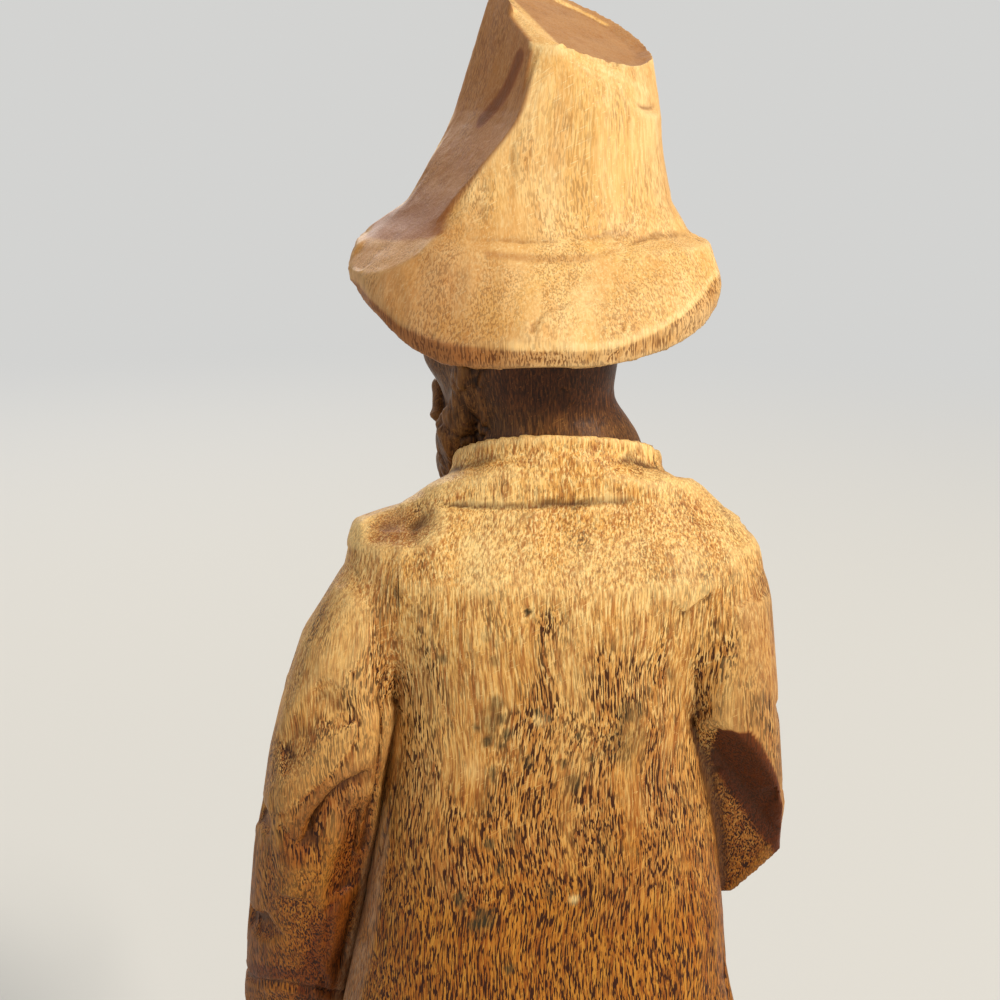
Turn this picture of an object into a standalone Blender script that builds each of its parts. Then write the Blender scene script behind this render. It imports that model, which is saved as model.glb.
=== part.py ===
"""Carved wooden beggar figure, about 415 mm tall.

The figure faces -Y, its own left is +X and +Z is up. The origin is on the underside of the
base, under the middle of the trunk. The pieces are carved blocks of one wood, glued and
dowelled: coat, left sleeve, right forearm, trousers, head, hat, hands and feet, with a loose
cane that stands in the left fist and in a socket of the base.
"""
import math

import bmesh
import bpy
from mathutils import Matrix, Vector

MM = 0.001
GAP = 0.3 * MM

# Heights of the figure.
BASE_THICKNESS = 22 * MM
TROUSER_HEM_Z = 50 * MM
COAT_HEM_Z = 160 * MM
ARMPIT_Z = 262 * MM
NECK_RECESS_Z = 303 * MM
HEAD_TOP_Z = 356 * MM
HAT_BRIM_Z = 359 * MM
HAT_TOP_Z = 406.3 * MM

# The head is turned to the figure's left.
NECK_AXIS = Vector((0, -2 * MM, 0))
HEAD_TURN = math.radians(45)
NECK_CLEARANCE = 0.7 * MM
# Right, left, back and front edge of the neck where it enters the collar, in mm.
NECK_OUTLINE = (-20, 14, 10.4, -14)
TENON_RADIUS = 9 * MM
TENON_BOTTOM_Z = 288 * MM

# Glue faces between the blocks.
SHOULDER_JOINT_X = 31 * MM
ELBOW_JOINT_Y = -14 * MM

# Legs, feet and the screws that hold them to the base.
LEG_X = 19 * MM
LEG_Y = -3 * MM
FOOT_TURN = math.radians(12)
ANKLE_RADIUS = 8 * MM
ANKLE_DEPTH = 8 * MM
ANKLE_BOTTOM_Z = 30 * MM
SCREW_RADIUS = 2 * MM
SCREW_HEAD_RADIUS = 4.2 * MM
SCREW_HEAD_HEIGHT = 3 * MM
SCREW_TOP_Z = 78 * MM
COUNTERBORE_RADIUS = 4.8 * MM
COUNTERBORE_DEPTH = 6 * MM

# The cane and its grip. The axis runs from the socket up through the fist.
CANE_FOOT = Vector((66 * MM, -46 * MM, 16 * MM))
CANE_GRIP = Vector((62 * MM, -38 * MM, 160 * MM))
CANE_RADIUS = 2.7 * MM
CANE_CLEARANCE = 0.4 * MM
CANE_LENGTH = 168 * MM
CANE_SOCKET_LENGTH = 20 * MM
CANE_KNOB_RADIUS = 4.6 * MM

# Dowels: the hat peg and the waist dowels are cut to one length.
DOWEL_RADIUS = 3 * MM
WAIST_DOWEL_RADIUS = 4 * MM
PEG_LENGTH = 26 * MM
ROUND_STEPS = 24
SCREW_STEPS = 16

# A helper box or hole runs past the surface that it cuts by OVERCUT, and past the figure by REACH.
OVERCUT = 5 * MM
REACH = 120 * MM

# Wood colours (linear), as the photograph shows them.
PALE_WOOD = (0.78, 0.52, 0.25)
COAT_WOOD = (0.58, 0.32, 0.11)
SLEEVE_WOOD = (0.50, 0.26, 0.09)
TROUSER_WOOD = (0.35, 0.18, 0.07)
STAINED_WOOD = (0.07, 0.025, 0.008)
BASE_WOOD = (0.30, 0.15, 0.06)
DOWEL_WOOD = (0.65, 0.45, 0.24)
STEEL = (0.55, 0.55, 0.55)

for old_object in list(bpy.data.objects):
    bpy.data.objects.remove(old_object)

parts = bpy.data.collections.new("carved_beggar_figure")
cutters = bpy.data.collections.new("cutters")
bpy.context.scene.collection.children.link(parts)
bpy.context.scene.collection.children.link(cutters)


def wood(name, colour, roughness=0.6, metallic=0.0):
    """A plain material with one colour."""
    material = bpy.data.materials.new(name)
    material.use_nodes = True
    shader = material.node_tree.nodes["Principled BSDF"]
    shader.inputs["Base Color"].default_value = (*colour, 1)
    shader.inputs["Roughness"].default_value = roughness
    shader.inputs["Metallic"].default_value = metallic
    return material


def add_object(name, bm, material=None):
    """Turn a bmesh into an object: a part where it has a material, or else a helper shape."""
    bmesh.ops.recalc_face_normals(bm, faces=bm.faces)
    mesh = bpy.data.meshes.new(name)
    bm.to_mesh(mesh)
    bm.free()
    made = bpy.data.objects.new(name, mesh)
    if material is None:
        cutters.objects.link(made)
        made.hide_render = True
        made.display_type = "WIRE"
        return made
    parts.objects.link(made)
    mesh.materials.append(material)
    mesh.shade_smooth()
    mesh.set_sharp_from_angle(angle=math.radians(35))
    return made


def combine(target, other, operation, solver="EXACT"):
    """Cut or join the target by a helper shape."""
    modifier = target.modifiers.new(operation.lower() + "_" + other.name, "BOOLEAN")
    modifier.operation = operation
    modifier.object = other
    modifier.solver = solver


def cut(target, other, solver="EXACT"):
    combine(target, other, "DIFFERENCE", solver)


def join(target, other, solver="EXACT"):
    combine(target, other, "UNION", solver)


def loft(name, rings, material=None):
    """Skin a list of closed rings that have the same number of points, and cap both ends."""
    bm = bmesh.new()
    rows = [[bm.verts.new(point) for point in ring] for ring in rings]
    count = len(rows[0])
    for lower, upper in zip(rows, rows[1:]):
        for i in range(count):
            j = (i + 1) % count
            bm.faces.new((lower[i], lower[j], upper[j], upper[i]))
    for row in (rows[0], rows[-1]):
        middle = bm.verts.new(sum((vert.co for vert in row), Vector()) / count)
        for i in range(count):
            bm.faces.new((row[i], row[(i + 1) % count], middle))
    return add_object(name, bm, material)


def superellipse(angle, half_u, half_v, power):
    """A point of a rounded box outline, at an angle round its middle."""
    c, s = math.cos(angle), math.sin(angle)
    scale = (abs(c) ** power + abs(s) ** power) ** (-1 / power)
    return half_u * c * scale, half_v * s * scale


def outline_ring(row, power, count, grow=0.0, slope=0.0):
    """A ring from a row of millimetres: height, right, left, back and front edge."""
    z, right, left, back, front = (value * MM for value in row)
    middle = Vector(((right + left) / 2, (back + front) / 2, z))
    half_x = (left - right) / 2 + grow
    half_y = (back - front) / 2 + grow
    ring = []
    for i in range(count):
        x, y = superellipse(2 * math.pi * i / count, half_x, half_y, power)
        ring.append(middle + Vector((x, y, slope * y)))
    return ring


def path_rings(rows, power, count, side=Vector((1, 0, 0))):
    """Rings square to a path. A row is the centre x, y, z and the two half sizes, in mm."""
    centres = [Vector(row[:3]) * MM for row in rows]
    rings = []
    for i, row in enumerate(rows):
        before = centres[max(i - 1, 0)]
        after = centres[min(i + 1, len(rows) - 1)]
        along = (after - before).normalized()
        across = (side - along * side.dot(along)).normalized()
        depth = along.cross(across)
        ring = []
        for k in range(count):
            u, v = superellipse(2 * math.pi * k / count, row[3] * MM, row[4] * MM, power)
            ring.append(centres[i] + across * u + depth * v)
        rings.append(ring)
    return rings


def cylinder(name, start, end, radius, material=None, steps=ROUND_STEPS, end_radius=None):
    """A round bar or hole between two points."""
    axis = end - start
    bm = bmesh.new()
    bmesh.ops.create_cone(bm, cap_ends=True, segments=steps, radius1=radius,
                          radius2=radius if end_radius is None else end_radius, depth=axis.length)
    turn = axis.to_track_quat("Z", "Y").to_matrix().to_4x4()
    bmesh.ops.transform(bm, matrix=Matrix.Translation((start + end) / 2) @ turn, verts=bm.verts)
    return add_object(name, bm, material)


def box(name, low, high):
    """A helper box between two corners, in metres."""
    bm = bmesh.new()
    bmesh.ops.create_cube(bm, size=1)
    size = Vector(high) - Vector(low)
    for vert in bm.verts:
        vert.co = Vector(low) + Vector((s * (c + 0.5) for s, c in zip(size, vert.co)))
    return add_object(name, bm)


def dowel(name, start, end, radius, hosts):
    """A glued dowel in a hole with the same gap all round, through each host."""
    along = (end - start).normalized()
    cylinder(name, start, end, radius, wood("dowel_" + name, DOWEL_WOOD))
    hole = cylinder(name + "_hole", start - along * GAP, end + along * GAP, radius + GAP)
    for host in hosts:
        cut(host, hole)


# The coat: one loft from the hem over the shoulders and the collar down to the neck recess.
# Height, right, left, back and front edge in mm, and the slope at which the ring rises to the back.
COAT_ROWS = [
    (160, -50, 51, 26.5, -29.5, 0),
    (171, -48.5, 49.5, 26.5, -29, 0),
    (182, -46.5, 47.5, 26, -28, 0),
    (194, -43.8, 45, 25, -26.5, 0),
    (212, -42, 41.2, 24.5, -25, 0),
    (229, -39.8, 38.6, 24, -24, 0),
    (244, -37.6, 36, 23.5, -23.5, 0),
    (260, -35, 33.8, 23.5, -23.5, 0),
    (274, -34.5, 33.6, 24, -24, 0),
    (285, -40.5, 38.5, 24, -24, 0),
    (293, -47.6, 43, 23, -22.5, 0),
    (298.5, -46.4, 43.3, 20.5, -19.5, 0.04),
    (302.5, -43, 41.5, 17.8, -18, 0.14),
    (306, -38, 31, 15.8, -17.6, 0.26),
    (309, -34, 26.5, 15.2, -17.6, 0.38),
]
COAT_POWER = 2.6
COAT_POINTS = 36
COLLAR_SLOPE = 0.5
COLLAR_CENTRE = Vector((-2.5 * MM, -2 * MM, 0))
# Height on the collar's middle, half width and half depth of the collar's rings.
COLLAR_ROWS = [(311, 24.2, 16.6), (313, 23.2, 15.8), (316.5, 22.6, 15.6), (317.2, 21, 14.2)]
NECK_RECESS_SHOULDER = 4 * MM


def collar_ring(row, grow):
    z, half_x, half_y = (value * MM for value in row)
    ring = []
    for i in range(COAT_POINTS):
        x, y = superellipse(2 * math.pi * i / COAT_POINTS, half_x + grow, half_y + grow, 2)
        ring.append(COLLAR_CENTRE + Vector((x, y, z + COLLAR_SLOPE * y + grow)))
    return ring


def coat_rings(grow=0.0, recess=True):
    """The coat's rings. A grown copy without the recess cuts what lies against the coat."""
    rings = []
    for *row, slope in COAT_ROWS:
        rings.append(outline_ring(row, COAT_POWER, COAT_POINTS, grow, slope))
    rings += [collar_ring(row, grow) for row in COLLAR_ROWS]
    if recess:
        for level in (NECK_RECESS_Z + NECK_RECESS_SHOULDER, NECK_RECESS_Z):
            row = (level / MM,) + NECK_OUTLINE
            rings.append(outline_ring(row, 2, COAT_POINTS, NECK_CLEARANCE))
    return rings


# The right arm, centre and half sizes in mm, from the shoulder round the elbow to the cuff.
RIGHT_ARM_ROWS = [
    (-28, 0, 294, 7, 10),
    (-37.4, 1, 292, 10.7, 13),
    (-39, 2, 284, 11, 15),
    (-41.2, 3, 268, 10.4, 15.5),
    (-43, 3.2, 252, 10.3, 14.5),
    (-44.6, 2.2, 240, 10.3, 14.5),
    (-45.4, -3, 224, 10.3, 18.5),
    (-44.8, -12, 222, 10.3, 17.5),
    (-43, -24, 230, 10.2, 14),
    (-40.5, -38, 236, 10.2, 13),
    (-38, -50, 241.5, 10.8, 12.6),
]
# The left arm hangs, a little bent.
LEFT_ARM_ROWS = [
    (26, 1, 292, 7, 10),
    (33, 1, 291, 8.5, 13),
    (37.8, 2, 285, 9.4, 15),
    (42.9, 3, 274, 11.4, 15.5),
    (46.2, 3.5, 260, 12.9, 15.5),
    (49.2, 3, 247, 13.2, 15.5),
    (51, 1.5, 235, 13.4, 15.5),
    (54, -2, 221, 13.5, 15),
    (56.6, -7.5, 203, 13.6, 14.4),
    (58.8, -13, 187, 13.6, 14),
    (60.8, -18, 174, 13.6, 13.6),
]
ARM_POWER = 2.4
ARM_POINTS = 24
# Boxes that trim an arm reach into the trunk as far as this from its middle.
TRUNK_INSIDE_X = 20 * MM
# Everything that lies against the coat is cut by a copy of it that is larger by this.
COAT_CLEARANCE = 0.4 * MM

# Two flat cuts shape the underside of the right elbow: a point of each plane and its direction.
# The back cut is deep above a crease and less deep below it.
FACET_SIZE = 110 * MM
ELBOW_BACK_POINT = Vector((-46.3, 12.2, 246.6)) * MM
ELBOW_BACK_NORMAL = Vector((0.38, 0.77, -0.50))
ELBOW_CREASE_POINT = Vector((-49.6, 6.3, 235)) * MM
ELBOW_CREASE_NORMAL = Vector((0.07, 0.93, -0.35))
ELBOW_LOW_POINT = Vector((-48.6, 0, 213)) * MM
ELBOW_LOW_NORMAL = Vector((-0.82, 0, -0.57))


def facet(name, point, normal):
    """A helper block that planes a flat knife cut: everything on the normal's side of the point."""
    bm = bmesh.new()
    bmesh.ops.create_cube(bm, size=FACET_SIZE)
    turn = normal.to_track_quat("Z", "Y").to_matrix().to_4x4()
    middle = point + normal.normalized() * FACET_SIZE / 2
    bmesh.ops.transform(bm, matrix=Matrix.Translation(middle) @ turn, verts=bm.verts)
    return add_object(name, bm)


elbow_back_cut = facet("elbow_back_cut", ELBOW_BACK_POINT, ELBOW_BACK_NORMAL)
under_crease = facet("under_crease", ELBOW_CREASE_POINT, -ELBOW_CREASE_NORMAL)
cut(elbow_back_cut, under_crease, "MANIFOLD")
elbow_low_cut = facet("elbow_low_cut", ELBOW_LOW_POINT, ELBOW_LOW_NORMAL)

coat = loft("coat", coat_rings(), wood("coat_wood", COAT_WOOD))
front_of_elbow = box("front_of_elbow", (-REACH, -REACH, 0),
                     (-TRUNK_INSIDE_X, ELBOW_JOINT_Y, HEAD_TOP_Z))
upper_arm_form = loft("upper_arm_form", path_rings(RIGHT_ARM_ROWS, ARM_POWER, ARM_POINTS))
for helper in (elbow_back_cut, elbow_low_cut, front_of_elbow):
    cut(upper_arm_form, helper, "MANIFOLD")
join(coat, upper_arm_form, "MANIFOLD")
shoulder_stub = loft("shoulder_stub", path_rings(LEFT_ARM_ROWS, ARM_POWER, ARM_POINTS))
below_armpit = box("below_armpit", (-TRUNK_INSIDE_X, -REACH, 0), (REACH, REACH, ARMPIT_Z))
cut(shoulder_stub, below_armpit)
join(coat, shoulder_stub)
left_of_shoulder = box("left_of_shoulder", (SHOULDER_JOINT_X, -REACH, ARMPIT_Z),
                       (REACH, REACH, HEAD_TOP_Z))
cut(coat, left_of_shoulder)

coat_envelope = loft("coat_envelope", coat_rings(COAT_CLEARANCE, recess=False))
left_of_envelope = box("left_of_envelope", (SHOULDER_JOINT_X + GAP, -REACH, ARMPIT_Z + GAP),
                       (REACH, REACH, HEAD_TOP_Z))
cut(coat_envelope, left_of_envelope)

left_sleeve = loft("left_sleeve", path_rings(LEFT_ARM_ROWS, ARM_POWER, ARM_POINTS),
                   wood("left_sleeve_wood", SLEEVE_WOOD))
shoulder_form = loft("shoulder_form", coat_rings(recess=False))
join(left_sleeve, shoulder_form, "MANIFOLD")
cut(left_sleeve, coat_envelope, "MANIFOLD")
right_of_joint = box("right_of_joint", (-REACH, -REACH, 0),
                     (SHOULDER_JOINT_X + COAT_CLEARANCE, REACH, HEAD_TOP_Z))
cut(left_sleeve, right_of_joint, "MANIFOLD")

right_forearm_sleeve = loft("right_forearm_sleeve", path_rings(RIGHT_ARM_ROWS, ARM_POWER, ARM_POINTS),
                            wood("right_forearm_wood", SLEEVE_WOOD))
behind_elbow = box("behind_elbow", (-REACH, ELBOW_JOINT_Y - GAP, 0), (0, REACH, HEAD_TOP_Z))
for helper in (behind_elbow, coat_envelope, elbow_low_cut):
    cut(right_forearm_sleeve, helper, "MANIFOLD")

# The trousers: a short yoke under the coat and two legs.
YOKE_ROWS = [
    (146, -36, 37, 17, -21),
    (152, -38, 39, 18.5, -22.5),
    (COAT_HEM_Z / MM - GAP / MM, -39, 40, 19, -23),
]
YOKE_POWER = 3
YOKE_POINTS = 28
LEG_POWER = 2.3
LEG_POINTS = 22
trousers = loft("trousers", [outline_ring(row, YOKE_POWER, YOKE_POINTS) for row in YOKE_ROWS],
                wood("trouser_wood", TROUSER_WOOD))


def leg_rows(side, knee_forward):
    """Centre and half sizes of one leg, from the yoke to the hem, in mm."""
    x, y = LEG_X / MM, LEG_Y / MM
    return [
        (side * x, y + 1, 154, 17, 18),
        (side * x, y, 138, 16.5, 17.5),
        (side * (x + 0.5), y - 0.6 * knee_forward, 122, 15, 16),
        (side * (x + 0.5), y - knee_forward, 108, 14, 15),
        (side * x, y - 0.5 * knee_forward, 92, 13.2, 14),
        (side * x, y, 76, 13, 14),
        (side * x, y, 62, 13.6, 14.6),
        (side * x, y, TROUSER_HEM_Z / MM, 14.6, 15.6),
    ]


FOOT_SOLE_Z = BASE_THICKNESS + GAP
# Distance from heel to toe, half width, height and the middle's shift, in mm.
FOOT_ROWS = [
    (-12.5, 4, 9, 0),
    (-11, 6.5, 14, 0),
    (-5, 7.8, 20, 0),
    (4, 8.2, 20, 0),
    (12, 8.6, 15.5, 0.3),
    (21, 9.6, 11.5, 0.8),
    (30, 10.6, 8.5, 1.2),
    (37, 10.2, 6.5, 0.8),
    (42, 7.4, 4, 0),
]
FOOT_POINTS = 20
FOOT_POWER = 2.5
# The rings' lowest part is planed off by this much, to a flat sole.
SOLE_CUT = 0.8


def foot_rings(side):
    """Upright rings along the foot, flat below, turned out from the body."""
    turn = Matrix.Rotation(side * FOOT_TURN, 3, "Z")
    rings = []
    for along, half_width, height, shift in FOOT_ROWS:
        ring = []
        for i in range(FOOT_POINTS):
            u, v = superellipse(2 * math.pi * i / FOOT_POINTS, half_width, height / 2, FOOT_POWER)
            flat = Vector((u - side * shift, -along, 0)) * MM
            level = max(v + height / 2 - SOLE_CUT, 0) * MM
            spot = turn @ flat
            ring.append(Vector((side * LEG_X + spot.x, LEG_Y + spot.y, FOOT_SOLE_Z + level)))
        rings.append(ring)
    return rings


# Height in mm and scale of the base's rings.
BASE_ROWS = [(0, 0.97), (3, 1.0), (15, 1.0), (BASE_THICKNESS / MM, 0.955)]
BASE_MIDDLE = Vector((5 * MM, -10 * MM, 0))
BASE_HALF_X = 74 * MM
BASE_HALF_Y = 54 * MM
BASE_POINTS = 44
BASE_POWER = 4


def base_ring(level, scale):
    """A hewn outline: a rounded box with slow dents and bulges."""
    ring = []
    for i in range(BASE_POINTS):
        angle = 2 * math.pi * i / BASE_POINTS
        x, y = superellipse(angle, BASE_HALF_X, BASE_HALF_Y, BASE_POWER)
        dent = 1 + 0.012 * math.sin(3 * angle + 0.6) + 0.009 * math.sin(7 * angle + 2.0)
        ring.append(BASE_MIDDLE + Vector((x * dent * scale, y * dent * scale, level * MM)))
    return ring


base = loft("base", [base_ring(level, scale) for level, scale in BASE_ROWS],
            wood("base_wood", BASE_WOOD))

for side, side_name, knee_forward in ((1, "left", 5), (-1, "right", 2)):
    leg = loft("leg_form_" + side_name, path_rings(leg_rows(side, knee_forward), LEG_POWER, LEG_POINTS))
    join(trousers, leg)
    foot = loft(side_name + "_foot", foot_rings(side), wood(side_name + "_foot_stain", STAINED_WOOD))
    axis = Vector((side * LEG_X, LEG_Y, 0))
    up = Vector((0, 0, 1))
    ankle_top = TROUSER_HEM_Z + ANKLE_DEPTH
    ankle = cylinder("ankle_form_" + side_name, axis + up * ANKLE_BOTTOM_Z, axis + up * ankle_top,
                     ANKLE_RADIUS)
    join(foot, ankle)
    hem_recess = cylinder("hem_recess_" + side_name, axis + up * (TROUSER_HEM_Z - OVERCUT),
                          axis + up * (ankle_top + GAP), ANKLE_RADIUS + GAP)
    cut(trousers, hem_recess)
    head_top = axis + up * (COUNTERBORE_DEPTH - GAP)
    screw = cylinder("base_screw_" + side_name, head_top - up * MM, axis + up * SCREW_TOP_Z,
                     SCREW_RADIUS, wood("screw_" + side_name, STEEL, 0.35, 1.0), SCREW_STEPS)
    screw_head = cylinder("screw_head_" + side_name, head_top - up * SCREW_HEAD_HEIGHT, head_top,
                          SCREW_HEAD_RADIUS)
    join(screw, screw_head)
    counterbore = cylinder("counterbore_" + side_name, axis - up * OVERCUT, axis + up * COUNTERBORE_DEPTH,
                           COUNTERBORE_RADIUS)
    cut(base, counterbore)
    screw_hole = cylinder("screw_hole_" + side_name, axis - up * MM, axis + up * (SCREW_TOP_Z + GAP),
                          SCREW_RADIUS + GAP, steps=SCREW_STEPS)
    for host in (base, foot, trousers):
        cut(host, screw_hole)

# Head: rings along the neck and skull, in the head's own forward and side directions.
FORWARD = Vector((math.sin(HEAD_TURN), -math.cos(HEAD_TURN), 0))
SIDEWAYS = Vector((math.cos(HEAD_TURN), math.sin(HEAD_TURN), 0))
# Height, front, back and half width about the neck axis, in mm.
HEAD_ROWS = [
    (316, 20, -4, 11),
    (318, 23, -7, 13),
    (322, 25.5, -11, 15.5),
    (327, 27.5, -14.2, 17),
    (334, 28.5, -16.8, 18),
    (341, 28, -18, 18),
    (348, 27.5, -18, 18),
    (HEAD_TOP_Z / MM, 26, -17, 17.2),
]
# Height, right, left, back and front edge of the neck, in mm.
NECK_ROWS = [
    (NECK_RECESS_Z / MM + GAP / MM,) + NECK_OUTLINE,
    (315,) + NECK_OUTLINE,
    (320, -21.4, 14.3, 10.4, -14),
    (324, -19.2, 14.6, 10.4, -14),
    (328, -17, 14.8, 10.5, -14),
    (333, -15.5, 15, 10.6, -14),
    (339, -15.8, 15, 10.6, -14),
]
BEARD_ROWS = [
    (296.5, 29, 23, 4),
    (301, 30.5, 20, 8),
    (307, 31.5, 16, 11.5),
    (314, 30.5, 12, 13),
    (323, 28, 10, 15),
]
HEAD_POINTS = 28
HEAD_POWER = 2.1
# Bridge and tip of the nose: distance forward, to the side and height, in mm.
NOSE_BRIDGE = (27.2, 0, 339)
NOSE_TIP = (30.5, 0, 330.5)
NOSE_RADII = (1.6 * MM, 3 * MM)
NOSE_STEPS = 10
TENON_OVERLAP = 3 * MM


def head_ring(row, count=HEAD_POINTS, grow=0.0, start=0.0):
    """A level ring round the head; start is the angle of its first point, from straight ahead."""
    z, front, back, half_width = (value * MM for value in row)
    middle = NECK_AXIS + FORWARD * (front + back) / 2 + Vector((0, 0, z))
    ring = []
    for i in range(count):
        angle = start + 2 * math.pi * i / count
        u, v = superellipse(angle, (front - back) / 2 + grow, half_width + grow, HEAD_POWER)
        ring.append(middle + FORWARD * u + SIDEWAYS * v)
    return ring


head = loft("head", [head_ring(row) for row in HEAD_ROWS], wood("head_stain", STAINED_WOOD))
join(head, loft("neck_form", [outline_ring(row, 2, HEAD_POINTS) for row in NECK_ROWS]))
beard = loft("beard_form", [head_ring(row) for row in BEARD_ROWS])
cut(beard, coat_envelope, "MANIFOLD")
join(head, beard)


def head_point(front, side, z):
    return NECK_AXIS + FORWARD * front * MM + SIDEWAYS * side * MM + Vector((0, 0, z * MM))


nose = cylinder("nose_form", head_point(*NOSE_BRIDGE), head_point(*NOSE_TIP), NOSE_RADII[0],
                steps=NOSE_STEPS, end_radius=NOSE_RADII[1])
join(head, nose)
tenon_top = NECK_AXIS + Vector((0, 0, NECK_RECESS_Z + TENON_OVERLAP))
tenon_bottom = NECK_AXIS + Vector((0, 0, TENON_BOTTOM_Z))
tenon = cylinder("tenon_form", tenon_bottom, tenon_top, TENON_RADIUS)
join(head, tenon)
tenon_hole = cylinder("tenon_hole", tenon_bottom - Vector((0, 0, GAP)), tenon_top, TENON_RADIUS + GAP)
cut(coat, tenon_hole)

# Hat: rings from the head recess out to the rim, over the brim and up the crown.
HAT_POINTS = 36
HAT_MIDDLE = Vector((2.6 * MM, 0.5 * MM, 0))
RIM_HALF_X = 38.6 * MM
RIM_HALF_Y = 35.6 * MM
RIM_THICKNESS = 5.6 * MM
BRIM_DROOP_BACK = 11.5 * MM
BRIM_DROOP_FRONT = 6 * MM
BRIM_LEFT_LIFT = 1.3 * MM
# The right of the brim hangs down in a wave that is turned by this, the left back bends down
# between these two angles from the figure's left.
BRIM_TURN = math.radians(7)
BRIM_BEND_START = math.radians(10)
BRIM_BEND_END = math.radians(66)
# Scale of the rim's rings and their height over its upper edge, from the recess outwards.
RIM_RINGS = [
    (0.93, -RIM_THICKNESS - 0.5 * MM),
    (0.985, -RIM_THICKNESS),
    (1.0, -2 * MM),
    (0.985, 0),
]
# Height, right, left, back and front edge of the crown's rings, and how far from a ring's middle
# the long flat knife cut down the crown's left side runs, in mm.
CROWN_ROWS = [
    (362.5, -34, 39.6, 26, -27, 40),
    (365, -29.4, 38.2, 23.5, -25, 26.6),
    (371, -25.6, 29.4, 21.8, -22.8, 25),
    (379, -23.8, 24.9, 20.3, -20.8, 20.7),
    (389, -22.4, 20.2, 18.8, -19.4, 15.4),
]
TOP_ROW = (399, -21, 11.4, 16.6, -17.2, 16.3)
CROWN_POWER = 2.5
CROWN_CUT_NORMAL = Vector((math.cos(math.radians(30)), math.sin(math.radians(30)), 0))
CROWN_CUT_LEAN = 0.235
TOP_SLOPE_X = 0.4
TOP_SLOPE_Y = -0.32
# The top is dished: its inner ring is smaller by this share and deeper.
DISH_SHARE = 0.8
DISH_DEPTH = 1.6 * MM
HAT_RECESS_FLARE_Z = 351 * MM


def droop(angle):
    """How far the brim hangs down, most at the back and nothing at the sides."""
    if angle < math.pi / 2:
        bend = (angle - BRIM_BEND_START) / (BRIM_BEND_END - BRIM_BEND_START)
        bend = min(max(bend, 0), 1)
        return (BRIM_DROOP_BACK + BRIM_LEFT_LIFT) * bend * bend * (3 - 2 * bend) - BRIM_LEFT_LIFT
    lean = math.sin(angle - BRIM_TURN)
    hang = BRIM_DROOP_BACK if lean > 0 else BRIM_DROOP_FRONT
    return hang * abs(lean) ** 1.6 - BRIM_LEFT_LIFT * max(math.cos(angle), 0)


def rim_ring(scale, lift):
    """A ring of the rim, a little squarer on the right."""
    ring = []
    for i in range(HAT_POINTS):
        angle = 2 * math.pi * i / HAT_POINTS
        power = 2.3 if math.cos(angle) < 0 else 2
        x, y = superellipse(angle, RIM_HALF_X * scale, RIM_HALF_Y * scale, power)
        level = HAT_BRIM_Z - droop(angle) + lift
        ring.append(HAT_MIDDLE + Vector((x, y, level)))
    return ring


def recess_ring(z):
    """The head's top outline with a gap, started at the same angle as the rim."""
    row = (z / MM,) + HEAD_ROWS[-2][1:]
    return head_ring(row, HAT_POINTS, 2 * GAP, math.pi / 2 - HEAD_TURN)


def crown_ring(row, slanted=False, shrink=1.0):
    """A ring of the crown, cut flat where it stands out past the knife cut."""
    *edges, cut_distance = row
    ring = outline_ring(edges, CROWN_POWER, HAT_POINTS)
    middle = sum(ring, Vector()) / HAT_POINTS

    def slant(spot):
        return HAT_TOP_Z + TOP_SLOPE_X * (spot.x - middle.x) + TOP_SLOPE_Y * spot.y

    shaped = []
    for point in ring:
        outward = point - middle
        rise = slant(point) - point.z if slanted else 0
        beyond = outward.dot(CROWN_CUT_NORMAL) - cut_distance * MM + CROWN_CUT_LEAN * rise
        outward -= CROWN_CUT_NORMAL * max(beyond, 0)
        spot = middle + outward * shrink
        if slanted:
            spot.z = slant(spot)
        shaped.append(spot)
    return shaped


hat_rings = [recess_ring(HEAD_TOP_Z + GAP), recess_ring(HAT_RECESS_FLARE_Z)]
hat_rings += [rim_ring(scale, lift) for scale, lift in RIM_RINGS]
hat_rings += [crown_ring(row) for row in CROWN_ROWS]
hat_rings.append(crown_ring(TOP_ROW, slanted=True))
dish = crown_ring(TOP_ROW, slanted=True, shrink=DISH_SHARE)
hat_rings.append([point - Vector((0, 0, DISH_DEPTH)) for point in dish])
hat = loft("hat", hat_rings, wood("hat_wood", PALE_WOOD))

# Dowels between the blocks: ends in mm, radius and the blocks that they join.
peg_foot = head_point(4, 0, 342)
dowel("hat_peg", peg_foot, peg_foot + Vector((0, 0, PEG_LENGTH)), DOWEL_RADIUS, (head, hat))
SHOULDER_DOWELS = [
    ("left_shoulder_dowel_upper", (17, 2, 291), (39, 2, 291)),
    ("left_shoulder_dowel_lower", (17, 2, 276), (43, 2, 276)),
]
for name, start, end in SHOULDER_DOWELS:
    dowel(name, Vector(start) * MM, Vector(end) * MM, DOWEL_RADIUS, (coat, left_sleeve))
ELBOW_DOWEL_START = Vector((-45.5, -2, 226)) * MM
ELBOW_DOWEL_END = Vector((-43.5, -28, 231)) * MM
dowel("right_elbow_dowel", ELBOW_DOWEL_START, ELBOW_DOWEL_END, DOWEL_RADIUS, (coat, right_forearm_sleeve))
WAIST_DOWEL_Y = -2 * MM
WAIST_DOWEL_Z = 147 * MM
for side, side_name in ((1, "left"), (-1, "right")):
    foot_of_dowel = Vector((side * LEG_X, WAIST_DOWEL_Y, WAIST_DOWEL_Z))
    dowel("waist_dowel_" + side_name, foot_of_dowel, foot_of_dowel + Vector((0, 0, PEG_LENGTH)),
          WAIST_DOWEL_RADIUS, (coat, trousers))

# Hands. A wrist sits in a round socket in the cuff, with a dowel from it on into the sleeve.
WRIST_RADIUS = 7 * MM
WRIST_DEPTH = 5 * MM
WRIST_BEND = 4.5 * MM
SOCKET_MOUTH = 12 * MM
WRIST_DOWEL_RADIUS = 2 * MM
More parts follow.
